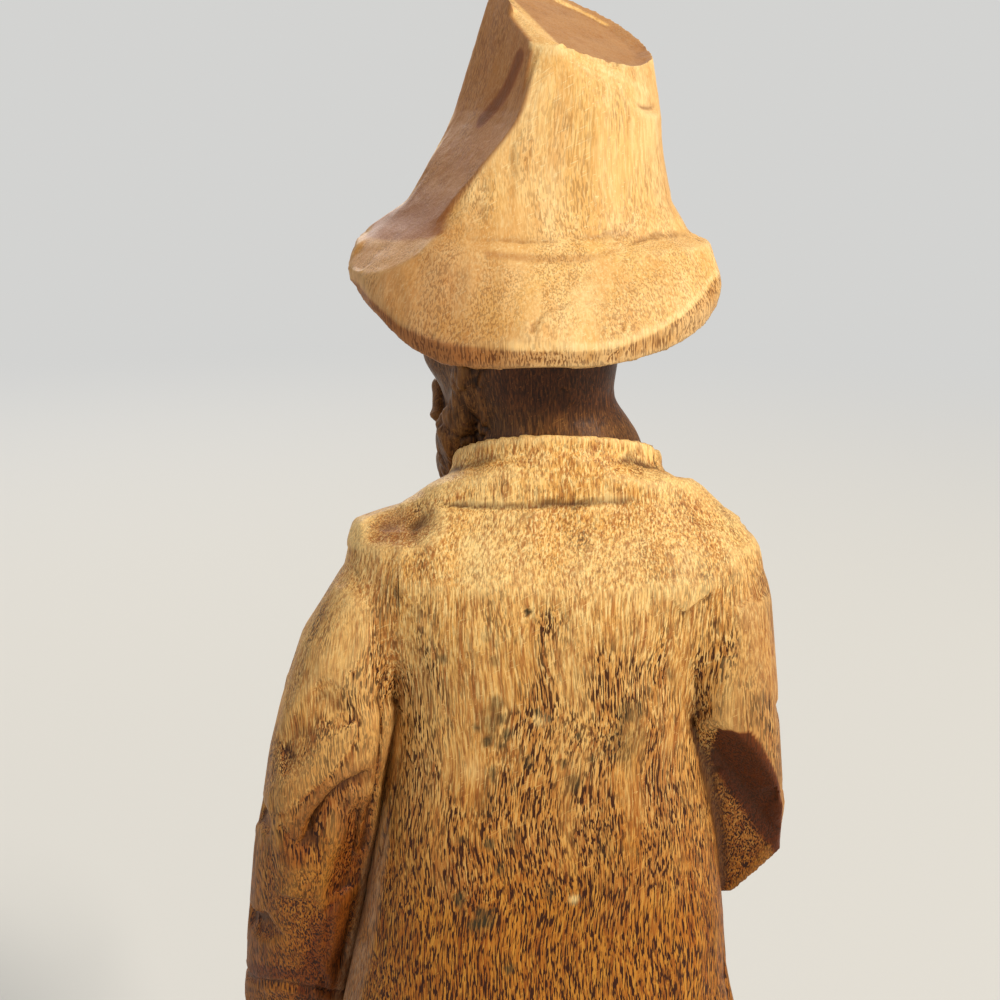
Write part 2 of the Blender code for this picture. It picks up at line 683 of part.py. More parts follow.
# How far the wrist dowel reaches into the sleeve and into the hand.
WRIST_DOWEL_IN = 12 * MM
WRIST_DOWEL_OUT = 7 * MM


def wrist(hand, sleeve, side_name, cuff, inward, target):
    """Join a wrist to the hand, sink it in the cuff and dowel it to the sleeve."""
    start = cuff + inward * WRIST_DEPTH
    bend = cuff - inward * WRIST_BEND
    straight = cylinder("wrist_form_" + side_name, start, bend, WRIST_RADIUS)
    bent = cylinder("wrist_bend_" + side_name, bend, target, WRIST_RADIUS * 0.98)
    join(hand, straight)
    join(hand, bent)
    socket = cylinder("cuff_socket_" + side_name, start + inward * GAP, cuff - inward * SOCKET_MOUTH,
                      WRIST_RADIUS + GAP)
    cut(sleeve, socket)
    dowel(side_name + "_wrist_dowel", start + inward * WRIST_DOWEL_IN, start - inward * WRIST_DOWEL_OUT,
          WRIST_DOWEL_RADIUS, (sleeve, hand))


CANE_AXIS = (CANE_GRIP - CANE_FOOT).normalized()
FIST_RADIUS = 9.2 * MM
FINGER_PITCH = 4.6 * MM
FIST_POWER = 2.4
# Heights of the fist's rings, in finger widths from its middle.
FIST_LEVELS = [-2.0, -1.85, -1.5, -1.1, -0.95, -0.5, -0.1, 0.1, 0.5, 0.95, 1.1, 1.5, 1.85, 2.0]
GROOVE_SHARE = 0.07
GRIP_HOLE_HALF = 30 * MM


def fist_rings():
    """A closed hand round the cane: four finger ridges stacked along it."""
    back_of_hand = Vector((1, 0, 0))
    back_of_hand = (back_of_hand - CANE_AXIS * back_of_hand.dot(CANE_AXIS)).normalized()
    to_wrist = CANE_AXIS.cross(back_of_hand)
    rings = []
    for level in FIST_LEVELS:
        ridge = abs(math.sin(math.pi * level)) ** 0.5
        end = 1 - 0.35 * max(abs(level) - 1.5, 0) / 0.5
        ring = []
        for i in range(ROUND_STEPS):
            angle = 2 * math.pi * i / ROUND_STEPS
            u, v = superellipse(angle, FIST_RADIUS * end, FIST_RADIUS * 1.08 * end, FIST_POWER)
            groove = 1 - GROOVE_SHARE * (1 - ridge) * (math.sin(angle) < 0.5)
            ring.append(CANE_GRIP + CANE_AXIS * FINGER_PITCH * level
                        + back_of_hand * u * groove + to_wrist * v * groove)
        rings.append(ring)
    return rings


left_hand = loft("left_hand", fist_rings(), wood("left_hand_stain", STAINED_WOOD))
left_cuff = Vector(LEFT_ARM_ROWS[-1][:3]) * MM
left_forearm = (Vector(LEFT_ARM_ROWS[-2][:3]) * MM - left_cuff).normalized()
wrist(left_hand, left_sleeve, "left", left_cuff, left_forearm, CANE_GRIP.lerp(left_cuff, 0.2))
half_hole = CANE_AXIS * GRIP_HOLE_HALF
grip_hole = cylinder("grip_hole", CANE_GRIP - half_hole, CANE_GRIP + half_hole,
                     CANE_RADIUS + CANE_CLEARANCE)
cut(left_hand, grip_hole)

PALM_POWER = 2.6
PALM_POINTS = 20
# Centre and half sizes of the open palm, from wrist to knuckles, in mm.
PALM_ROWS = [
    (-37.6, -52, 242, 6.5, 5),
    (-36.2, -58, 243.4, 8, 4.6),
    (-34.6, -66, 244.4, 9, 4),
    (-33.2, -72, 245.2, 9, 3.4),
]
right_hand = loft("right_hand", path_rings(PALM_ROWS, PALM_POWER, PALM_POINTS),
                  wood("right_hand_stain", STAINED_WOOD))
right_cuff = Vector(RIGHT_ARM_ROWS[-1][:3]) * MM
right_forearm = (Vector(RIGHT_ARM_ROWS[-2][:3]) * MM - right_cuff).normalized()
palm_end = Vector(PALM_ROWS[-1][:3]) * MM
palm_start = Vector(PALM_ROWS[1][:3]) * MM
wrist(right_hand, right_forearm_sleeve, "right", right_cuff, right_forearm, palm_start)
# Side of the palm, length, lift of the tip and radius of each finger, in mm.
FINGERS = [(-6.6, 13.5, 3.5, 2.2), (-2.2, 15.5, 3.2, 2.35), (2.2, 15, 3.4, 2.3), (6.4, 12, 4.2, 2.0)]


def finger(name, points, radius):
    """A finger: a bent tube with welded caps, as a helper mesh."""
    curve = bpy.data.curves.new(name, "CURVE")
    curve.dimensions = "3D"
    curve.bevel_depth = radius
    curve.bevel_resolution = 2
    curve.use_fill_caps = True
    spline = curve.splines.new("POLY")
    spline.points.add(len(points) - 1)
    for k, point in enumerate(points):
        spline.points[k].co = (*point, 1)
        spline.points[k].radius = 1 - 0.12 * k
    drawn = bpy.data.objects.new(name, curve)
    cutters.objects.link(drawn)
    mesh = bpy.data.meshes.new_from_object(drawn.evaluated_get(bpy.context.evaluated_depsgraph_get()))
    bm = bmesh.new()
    bm.from_mesh(mesh)
    bmesh.ops.remove_doubles(bm, verts=bm.verts, dist=0.01 * MM)
    bpy.data.objects.remove(drawn)
    return add_object(name + "_form", bm)


for number, (side, length, lift, radius) in enumerate(FINGERS):
    root = palm_end + Vector((side, 2.5, 0.4)) * MM
    middle = root + Vector((0.1 * side, -0.55 * length - 2.5, 0.35 * lift)) * MM
    tip = root + Vector((0.1 * side, -length - 2, 1.2 * lift)) * MM
    join(right_hand, finger("finger_%d" % number, [root, middle, tip], radius * MM))
THUMB_POINTS = [(-41.5, -58, 244), (-45.5, -65, 246.5), (-46, -72, 249)]
THUMB_RADIUS = 2.6 * MM
join(right_hand, finger("thumb", [Vector(point) * MM for point in THUMB_POINTS], THUMB_RADIUS))

# The loose cane, on an empty that marks the axis on which it lifts out.
cane_axis = bpy.data.objects.new("cane_lift_axis", None)
cane_axis.location = CANE_FOOT
cane_axis.rotation_mode = "QUATERNION"
cane_axis.rotation_quaternion = CANE_AXIS.to_track_quat("Z", "Y")
parts.objects.link(cane_axis)
bpy.context.view_layer.update()
CANE_PROFILE = [
    (0.0, CANE_LENGTH + 2 * MM),
    (0.55 * CANE_KNOB_RADIUS, CANE_LENGTH + 1.2 * MM),
    (CANE_KNOB_RADIUS, CANE_LENGTH - 2.2 * MM),
    (0.95 * CANE_KNOB_RADIUS, CANE_LENGTH - 4.5 * MM),
    (CANE_RADIUS, CANE_LENGTH - 8 * MM),
    (CANE_RADIUS, 6 * MM),
    (0.85 * CANE_RADIUS, 0.0),
    (0.0, 0.0),
]
bm = bmesh.new()
profile = [bm.verts.new((radius, 0, height)) for radius, height in CANE_PROFILE]
for first, second in zip(profile, profile[1:]):
    bm.edges.new((first, second))
cane_mesh = bpy.data.meshes.new("cane")
bm.to_mesh(cane_mesh)
bm.free()
cane = bpy.data.objects.new("cane", cane_mesh)
parts.objects.link(cane)
cane_mesh.materials.append(wood("cane_wood", TROUSER_WOOD))
cane.parent = cane_axis
screw_turn = cane.modifiers.new("turned", "SCREW")
screw_turn.steps = ROUND_STEPS
screw_turn.render_steps = ROUND_STEPS
screw_turn.use_merge_vertices = True
screw_turn.merge_threshold = 0.00001
cane_socket = cylinder("cane_socket", CANE_FOOT - CANE_AXIS * GAP,
                       CANE_FOOT + CANE_AXIS * CANE_SOCKET_LENGTH, CANE_RADIUS + CANE_CLEARANCE)
cut(base, cane_socket)
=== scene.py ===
# %% [markdown]
# # A carved wooden beggar figure
# The real figure is a folk carving about 41 cm tall: a bearded man in a felt hat and a long coat,
# who begs with one open hand and holds a stick with the other. The blocks of pale wood are carved,
# glued and waxed. Head, hands and feet are stained dark. This script dresses the plain solids of
# the CAD frame: it carves fine versions of them and gives each its wood.

# %% Load the frame
import itertools
import math

import bmesh
import bpy
import numpy as np
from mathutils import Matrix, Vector, kdtree


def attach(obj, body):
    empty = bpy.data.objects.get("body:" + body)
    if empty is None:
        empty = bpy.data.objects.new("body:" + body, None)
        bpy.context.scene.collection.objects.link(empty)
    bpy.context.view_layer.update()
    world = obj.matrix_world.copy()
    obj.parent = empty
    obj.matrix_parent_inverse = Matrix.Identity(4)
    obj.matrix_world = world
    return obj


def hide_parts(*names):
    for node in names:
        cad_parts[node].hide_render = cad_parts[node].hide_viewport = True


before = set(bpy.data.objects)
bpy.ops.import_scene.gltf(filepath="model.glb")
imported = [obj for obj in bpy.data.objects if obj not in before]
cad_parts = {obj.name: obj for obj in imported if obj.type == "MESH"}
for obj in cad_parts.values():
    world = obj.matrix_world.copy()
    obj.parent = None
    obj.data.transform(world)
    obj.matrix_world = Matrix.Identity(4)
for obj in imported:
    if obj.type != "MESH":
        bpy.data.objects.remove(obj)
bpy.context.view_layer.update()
MM = 0.001
print("nodes:", sorted(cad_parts))

# %% [markdown]
# ## The carver's blank
# A carver starts from a rough block that already has the big shape. Here the blank is a copy of a
# CAD node, rebuilt by the Remesh modifier as small even squares, so that there are points to carve
# everywhere. Displacing points in NumPy was chosen over sculpt brushes, because a script can say
# exactly where each cut goes and give the same result on every run.

# %% Copies, clips and remeshed blanks
MERGE_DISTANCE = 1e-6


def new_object(name, data):
    made = bpy.data.objects.new(name, data)
    bpy.context.scene.collection.objects.link(made)
    return made


def object_from(name, bm):
    """An object from an edit mesh, which is freed."""
    mesh = bpy.data.meshes.new(name)
    bm.to_mesh(mesh)
    bm.free()
    return new_object(name, mesh)


def node_copy(name, shift=(0, 0, 0)):
    """A closed copy of a CAD node: its loose triangles are merged."""
    bm = bmesh.new()
    bm.from_mesh(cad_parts[name].data)
    bmesh.ops.remove_doubles(bm, verts=bm.verts, dist=MERGE_DISTANCE)
    bmesh.ops.recalc_face_normals(bm, faces=bm.faces)
    bmesh.ops.translate(bm, verts=bm.verts, vec=Vector(shift) * MM)
    return object_from(name + "_copy", bm)


def with_modifier(made, kind, **settings):
    """Run one modifier on an object and keep its result as the plain mesh."""
    modifier = made.modifiers.new(kind.lower(), kind)
    for key, value in settings.items():
        setattr(modifier, key, value)
    ready = made.evaluated_get(bpy.context.evaluated_depsgraph_get())
    mesh = bpy.data.meshes.new_from_object(ready)
    made.modifiers.remove(modifier)
    old = made.data
    made.data = mesh
    bpy.data.meshes.remove(old)
    return made


def boolean_box(made, low, high, operation):
    """Cut a mesh by a box between two corners in mm, or keep only what is in the box."""
    bm = bmesh.new()
    bmesh.ops.create_cube(bm, size=1)
    size = Vector(high) - Vector(low)
    for vert in bm.verts:
        vert.co = (Vector(low) + Vector([s * (c + 0.5) for s, c in zip(size, vert.co)])) * MM
    cutter = object_from("box", bm)
    mesh = cutter.data
    with_modifier(made, "BOOLEAN", object=cutter, operation=operation, solver="MANIFOLD")
    bpy.data.objects.remove(cutter)
    bpy.data.meshes.remove(mesh)
    return made


def merged(name, pieces):
    """One mesh from several, which the remesh then fuses."""
    bm = bmesh.new()
    for piece in pieces:
        bm.from_mesh(piece.data)
        bpy.data.objects.remove(piece)
    return object_from(name, bm)


def blank(name, pieces, grain):
    """Fuse the pieces into one even mesh with squares of a given size in mm."""
    made = merged(name, pieces)
    with_modifier(made, "REMESH", mode="VOXEL", voxel_size=grain * MM, adaptivity=0)
    print(name, "blank:", len(made.data.polygons), "squares of", grain, "mm")
    return made


# %% [markdown]
# ## The block on the bench
# A Block holds the points of one blank in millimetres and does what a carver's hand does: it looks
# at the surface's direction, moves the surface in or out, and sands it by moving each point towards
# its neighbours.

# %% A block that can be carved
STEP_IN = 0.5
STEP_BACK = -0.52
TINY = 1e-9


class Block:
    def __init__(self, made):
        self.made = made
        self.mesh = made.data
        count = len(self.mesh.vertices)
        flat = np.empty(count * 3)
        self.mesh.vertices.foreach_get("co", flat)
        self.points = flat.reshape(-1, 3) / MM
        pairs = np.empty(len(self.mesh.edges) * 2, dtype=np.int64)
        self.mesh.edges.foreach_get("vertices", pairs)
        pairs = pairs.reshape(-1, 2)
        self.here = np.concatenate([pairs[:, 0], pairs[:, 1]])
        self.there = np.concatenate([pairs[:, 1], pairs[:, 0]])
        self.links = np.maximum(np.bincount(self.here, minlength=count), 1)

    def store(self):
        self.mesh.vertices.foreach_set("co", (self.points * MM).ravel())
        self.mesh.update()

    def normals(self):
        self.store()
        flat = np.empty(len(self.points) * 3)
        self.mesh.vertex_normals.foreach_get("vector", flat)
        return flat.reshape(-1, 3)

    def averaged(self, values, rounds=1, share=0.5):
        """Mix each point's values with its neighbours'."""
        values = values.reshape(len(self.points), -1)
        for _ in range(rounds):
            columns = [np.bincount(self.here, column[self.there], len(values)) for column in values.T]
            mean = np.stack(columns, 1) / self.links[:, None]
            values = values + share * (mean - values)
        return values

    def sand(self, rounds, where=None):
        """Smooth the surface without shrinking it: one step in and one step back."""
        before = self.points
        for _ in range(rounds):
            self.points = self.averaged(self.points, 1, STEP_IN)
            self.points = self.averaged(self.points, 1, STEP_BACK)
        if where is not None:
            self.points = before + (self.points - before) * where[:, None]

    def push(self, amount):
        """Move the surface outwards by an amount in mm at each point."""
        steady = self.averaged(self.normals(), 2)
        steady /= np.linalg.norm(steady, axis=1, keepdims=True) + TINY
        self.points = self.points + steady * amount[:, None]


# %% Slow lumps
LATTICE_TURN = np.array([[0.36, 0.48, -0.8], [-0.8, 0.6, 0.0], [0.48, 0.64, 0.6]])
SEED_STEP = 17.3
HASH_X, HASH_Y, HASH_Z, HASH_MIX = 73856093, 19349663, 83492791, 1274126177


def lumps(points, size, seed, stretch=(1, 1, 1)):
    """Smooth random values from -1 to 1, in lumps of about a given size in mm."""
    grid = (points / (size * np.array(stretch, float))) @ LATTICE_TURN + SEED_STEP * seed
    cell = np.floor(grid).astype(np.int64)
    share = grid - cell
    share = share * share * (3 - 2 * share)
    total = np.zeros(len(points))
    for corner in itertools.product((0, 1), repeat=3):
        key = cell + np.array(corner)
        mixed = key[:, 0] * HASH_X ^ key[:, 1] * HASH_Y ^ key[:, 2] * HASH_Z
        mixed = ((mixed ^ (mixed >> 13)) * HASH_MIX) & 0xFFFFFFFF
        value = ((mixed ^ (mixed >> 15)) & 0xFFFF) / 0x8000 - 1
        total += value * np.prod(np.where(corner, share, 1 - share), axis=1)
    return total


def ramp(values, low, high):
    """0 below low, 1 above high and a smooth rise between."""
    share = np.clip((values - low) / (high - low), 0, 1)
    return share * share * (3 - 2 * share)


def round_spot(points, middle, full, end, radii=(1, 1, 1)):
    """1 within a full distance of a place and 0 beyond its end, in mm."""
    return 1 - ramp(np.linalg.norm((points - np.array(middle, float)) / radii, axis=1), full, end)


def unit(vector):
    return np.array(vector, float) / np.linalg.norm(vector)


# %% [markdown]
# ## Knife facets
# A knife takes flat slices off a round form, so hand carving shows small flat faces with soft ridges
# between them. Each facet is the plane at one random point of the surface. A point of the mesh goes
# to the nearest of the planes around it, which makes neighbouring facets meet in a ridge.

# %% Flat slices of the knife
NEAR_FACETS = 5
RIDGE_SOFTNESS = 0.09
SAME_SIDE = 0.6
DEEPEST_SLICE = 1.0


def knife_facets(block, size, strength, seed, stretch=1.6, where=None):
    rng = np.random.default_rng(seed)
    squeeze = np.array([1, 1, 1 / stretch])
    normals = block.averaged(block.normals(), 3)
    normals /= np.linalg.norm(normals, axis=1, keepdims=True) + TINY
    edge = np.linalg.norm(block.points[block.here] - block.points[block.there], axis=1).mean()
    count = max(8, int(len(block.points) * edge ** 2 / size ** 2))
    chosen = rng.choice(len(block.points), count, replace=False)
    middle, direction = block.points[chosen], normals[chosen]
    tree = kdtree.KDTree(count)
    for number, index in enumerate(chosen):
        tree.insert(block.points[index] * squeeze, number)
    tree.balance()
    hits = [tree.find_n(point, NEAR_FACETS) for point in block.points * squeeze]
    found = np.array([[hit[1] for hit in row] for row in hits])
    away = np.array([[hit[2] for hit in row] for row in hits])
    height = np.einsum("nkj,nkj->nk", block.points[:, None] - middle[found], direction[found])
    facing = np.einsum("nj,nkj->nk", normals, direction[found])
    flush = np.exp(-np.abs(height) / RIDGE_SOFTNESS)
    weight = np.clip(1 - away / away[:, -1:], 0, 1) * flush * (facing > SAME_SIDE) + TINY
    weight /= weight.sum(axis=1, keepdims=True)
    slice_off = np.clip(height, -DEEPEST_SLICE, DEEPEST_SLICE)
    slide = np.einsum("nk,nk,nkj->nj", weight, slice_off, direction[found])
    amount = strength if where is None else strength * where[:, None]
    block.points = block.points - slide * amount
    block.store()


# %% [markdown]
# ## Cuts along a line
# Folds of cloth are carved as V cuts with one steep and one gentle side, and hollows as gouge cuts
# with a round bottom and crisp rims. Both follow a path of a few points on the surface, given in
# millimetres and snapped to the block.

# %% Paths, cuts and raised edges
CORNER_CUTS = 2


def rounded(path):
    """Cut the corners of a path until it is a smooth curve."""
    path = np.array(path, float)
    for _ in range(CORNER_CUTS):
        first = 0.75 * path[:-1] + 0.25 * path[1:]
        second = 0.25 * path[:-1] + 0.75 * path[1:]
        middle = np.stack([first, second], 1).reshape(-1, 3)
        path = np.concatenate([path[:1], middle, path[-1:]])
    return path


def snapped(block, path):
    path = rounded(path)
    nearest = [np.linalg.norm(block.points - point, axis=1).argmin() for point in path]
    kept = [index for k, index in enumerate(nearest) if k == 0 or index != nearest[k - 1]]
    on_block = block.points[kept]
    for _ in range(4):
        on_block[1:-1] = (on_block[:-2] + 2 * on_block[1:-1] + on_block[2:]) / 4
    return on_block


def near_path(block, path, reach):
    """For the points within reach: who they are, their distance, share of the way and offset."""
    low, high = path.min(0) - reach, path.max(0) + reach
    who = np.flatnonzero(np.all((block.points > low) & (block.points < high), axis=1))
    points = block.points[who]
    steps = path[1:] - path[:-1]
    lengths = np.linalg.norm(steps, axis=1)
    starts = np.concatenate([[0], np.cumsum(lengths)])
    best = np.full(len(who), np.inf)
    share = np.zeros(len(who))
    offset = np.zeros((len(who), 3))
    for start, step, length, done in zip(path, steps, lengths, starts):
        t = np.clip((points - start) @ step / (length ** 2 + TINY), 0, 1)
        away = points - start - t[:, None] * step
        distance = np.linalg.norm(away, axis=1)
        closer = distance < best
        best[closer] = distance[closer]
        share[closer] = (done + t[closer] * length) / starts[-1]
        offset[closer] = away[closer]
    return who, best, share, offset


def tapered(share, taper):
    """Fade a cut out at both ends, which are shares of its length."""
    start, end = taper
    rise = ramp(share, -0.01, start) if start else 1
    fall = 1 - ramp(share, 1 - end, 1.01) if end else 1
    return rise * fall


def carve(block, path, width, depth, wide=None, gentle=(0, 0, -1), gouge=False, taper=(0.25, 0.25)):
    """Cut into the block along a path; a negative depth raises a ridge."""
    wide = wide or width
    path = snapped(block, path)
    who, distance, share, offset = near_path(block, path, max(width, wide))
    side = offset @ np.array(gentle, float) > 0
    away = distance / np.where(side, wide, width)
    profile = np.clip(1 - away ** 2, 0, 1) if gouge else np.clip(1 - away, 0, 1) ** 1.3
    amount = np.zeros(len(block.points))
    amount[who] = -depth * profile * tapered(share, taper)
    block.push(amount)


def carve_folds(block, folds, **how):
    """Carve a list of folds: path, steep width, gentle width, depth and gentle side of each."""
    for path, steep, wide, depth, gentle in folds:
        carve(block, path, steep, depth, wide=wide, gentle=gentle, **how)


def layer_edge(block, path, height, fade, raised=(1, 0, 0), taper=(0.1, 0.1)):
    """Raise the surface on one side of a path, as where one cloth lies on another."""
    path = snapped(block, path)
    who, distance, share, offset = near_path(block, path, fade * 3)
    side = distance * np.sign(offset @ np.array(raised, float))
    profile = ramp(side, -0.5, 0.5) * (1 - ramp(side, 0.5, fade * 3))
    amount = np.zeros(len(block.points))
    amount[who] = height * profile * tapered(share, taper)
    block.push(amount)


def chop(block, point, normal, reach, strength=1.0):
    """Slice off what stands above a plane, near a point."""
    normal = unit(normal)
    away = block.points - np.array(point, float)
    above = np.clip(away @ normal, 0, None)
    near = 1 - ramp(np.linalg.norm(away, axis=1), reach * 0.8, reach)
    block.points = block.points - normal * (above * near * strength)[:, None]


def fill_hollow(block, middle, radii, rounds):
    """Fill a crease as with putty: smooth the surface there, but let it move only outwards."""
    away = np.linalg.norm((block.points - np.array(middle, float)) / np.array(radii, float), axis=1)
    who = np.flatnonzero(away < 1.1)
    near = 1 - ramp(away[who], 0.62, 1.0)
    local = np.full(len(block.points), -1)
    local[who] = np.arange(len(who))
    kept = (local[block.here] >= 0) & (local[block.there] >= 0)
    here, there = local[block.here[kept]], local[block.there[kept]]
    links = np.maximum(np.bincount(here, minlength=len(who)), 1)[:, None]
    for _ in range(rounds):
        normals = block.normals()[who]
        points = block.points[who]
        smooth = points
        for _ in range(12):
            columns = [np.bincount(here, column[there], len(who)) for column in smooth.T]
            smooth = np.stack(columns, 1) / links
        gain = np.clip(((smooth - points) * normals).sum(axis=1), 0, None)
        block.points[who] = points + normals * (gain * near)[:, None]


def ragged_edge(block, level, depth, centre, half, seed):
    """Tear the lower rim of a garment: the outer edge rises by random amounts."""
    points = block.points
    away = (points[:, :2] - np.array(centre)) / np.array(half)
    outer = ramp(np.linalg.norm(away, axis=1), 0.8, 0.93)
    low = 1 - ramp(points[:, 2], level, level + depth * 2.5)
    flat = points * np.array([1, 1, 0])
    torn = np.abs(lumps(flat, 5.5, seed)) + 0.6 * np.abs(lumps(flat, 2.2, seed + 1))
    block.points[:, 2] = points[:, 2] + depth * torn * outer * low


# %% [markdown]
# ## What the surface remembers
# Old wax and dirt stay in the hollows, and hands polish the ridges pale. The same measure also paints
# shade into the hollows and a highlight onto the ridges. Both follow the shape, so they are measured
# from it: a point that lies below the smoothed surface is in a hollow. The value is kept on the mesh
# as an attribute, which the wood material reads.

# %% Relief, stains, dust and painted light as attributes
def height_above(block, rounds):
    smooth = block.averaged(block.points, rounds, 0.9)
    return ((block.points - smooth) * block.normals()).sum(axis=1)


def paint(block, name, values):
    attribute = block.mesh.attributes.new(name, "FLOAT", "POINT")
    attribute.data.foreach_set("value", np.clip(values, -1, 1).astype(np.float32))


FINE_RELIEF = 0.14
BROAD_RELIEF = 1.0
CRISP_EDGE = math.radians(50)


def finish_piece(made, cad_node, slot, material, name=None, body="figure", **marks):
    """Measure the relief of a carved piece, give it its marks and wood and put it in the frame."""
    name = name or cad_node + "_carved"
    block = Block(made)
    fine = height_above(block, 6) / FINE_RELIEF
    broad = height_above(block, 60) / BROAD_RELIEF
    # Ridges lie above 0 and hollows below. The wood turns ridges pale and hollows dark, for wear, wax and
    # dirt, and also as painted highlight and painted shade.
    paint(block, "relief", 0.4 * fine + 0.7 * broad)
    for mark, field in marks.items():
        paint(block, mark, field(block))
    block.store()
    made.name = name
    made.data.name = name
    made.data.materials.clear()
    made.data.materials.append(material)
    made.data.shade_smooth()
    made.data.set_sharp_from_angle(angle=CRISP_EDGE)
    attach(made, body)
    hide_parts(cad_node)
    print(name, "finished with", len(made.data.polygons), "faces")
    return made


def along(points, path, reach):
    """1 on a path of places in mm, fading to 0 at the reach."""
    path = rounded(path)
    places = np.concatenate([np.linspace(a, b, 4) for a, b in zip(path[:-1], path[1:])])
    nearest = np.full(len(points), np.inf)
    for place in places:
        nearest = np.minimum(nearest, np.linalg.norm(points - place, axis=1))
    return 1 - ramp(nearest, reach * 0.4, reach)


# %% [markdown]
# ## The woods
# All blocks are one pale, fine-grained hardwood, like those of many folk carvings, cut with its
# grain upright. It shows broad bands of figure, thin streaks and short open pores, which are the
# dark dashes of about 0.3 by 3 mm. Wax has darkened it to honey, and dirt sits in the hollows,
# where painted shade darkens them further.
# The pattern is solid, in Object coordinates, so it runs through the form as real grain does: long
# dashes on upright faces and dots on end grain.
#
# Each wood is a pile of thin layers of colour. A layer follows one guide, which is a noise drawn out
# into threads or an attribute of the mesh, between two of its values, and some layers have a window
# that lets them through. Lists of guides and layers keep that readable, and each new mark, of wear or
# of painted light, is one more line.

# %% Colours and nodes
def linear(code):
    """An sRGB hex colour as linear values."""
    values = [int(code[i:i + 2], 16) / 255 for i in (1, 3, 5)]
    return [v / 12.92 if v <= 0.04045 else ((v + 0.055) / 1.055) ** 2.4 for v in values] + [1.0]


def add(tree, kind, settings=None, links=None):
    """Add a node. Settings are its properties or inputs, and links say what feeds an input."""
    node = tree.nodes.new(kind)
    for key, value in (settings or {}).items():
        if isinstance(key, int) or key in node.inputs:
            node.inputs[key].default_value = value
        else:
            setattr(node, key, value)
    for key, source in (links or {}).items():
        if source is not None:
            tree.links.new(source, node.inputs[key])
    return node


def new_material(name):
    material = bpy.data.materials.new(name)
    material.use_nodes = True
    return material, material.node_tree, material.node_tree.nodes["Principled BSDF"]


# %% The wood material
THREADS = {
    # guide: width and length of its threads in mm, finer detail, lean from upright in degrees
    "figure": (8, 90, 3, 0),
    "cloud": (13, 17, 4, 0),
    "band": (3.2, 60, 2, 0),
    "streak": (0.9, 24, 3, 0),
    "fibre": (0.42, 6, 2, 0),
    "long dash": (0.32, 3.2, 1, 0),
    "short dash": (0.32, 1.2, 1, 0),
    "density": (7, 22, 2, 0),
    "scratch": (0.26, 4.5, 0, 62),
}
# The shade mark holds painted highlight and painted shade, and also some real tone such as end grain.
MARKS = ("relief", "stain", "shade", "dust", "open_grain")
GRAIN_DEPTHS = {"streak": 0.5, "fibre": 0.4, "long dash": -0.9}
SPOT_GREY = "#33301c"
DUST_GREY = "#ad8a6c"
# Tone multiplied in where the shade mark is below 0.
DARKENING_TONE = "#955608"
UNSEEN = 10000
CROWDING = 0.004


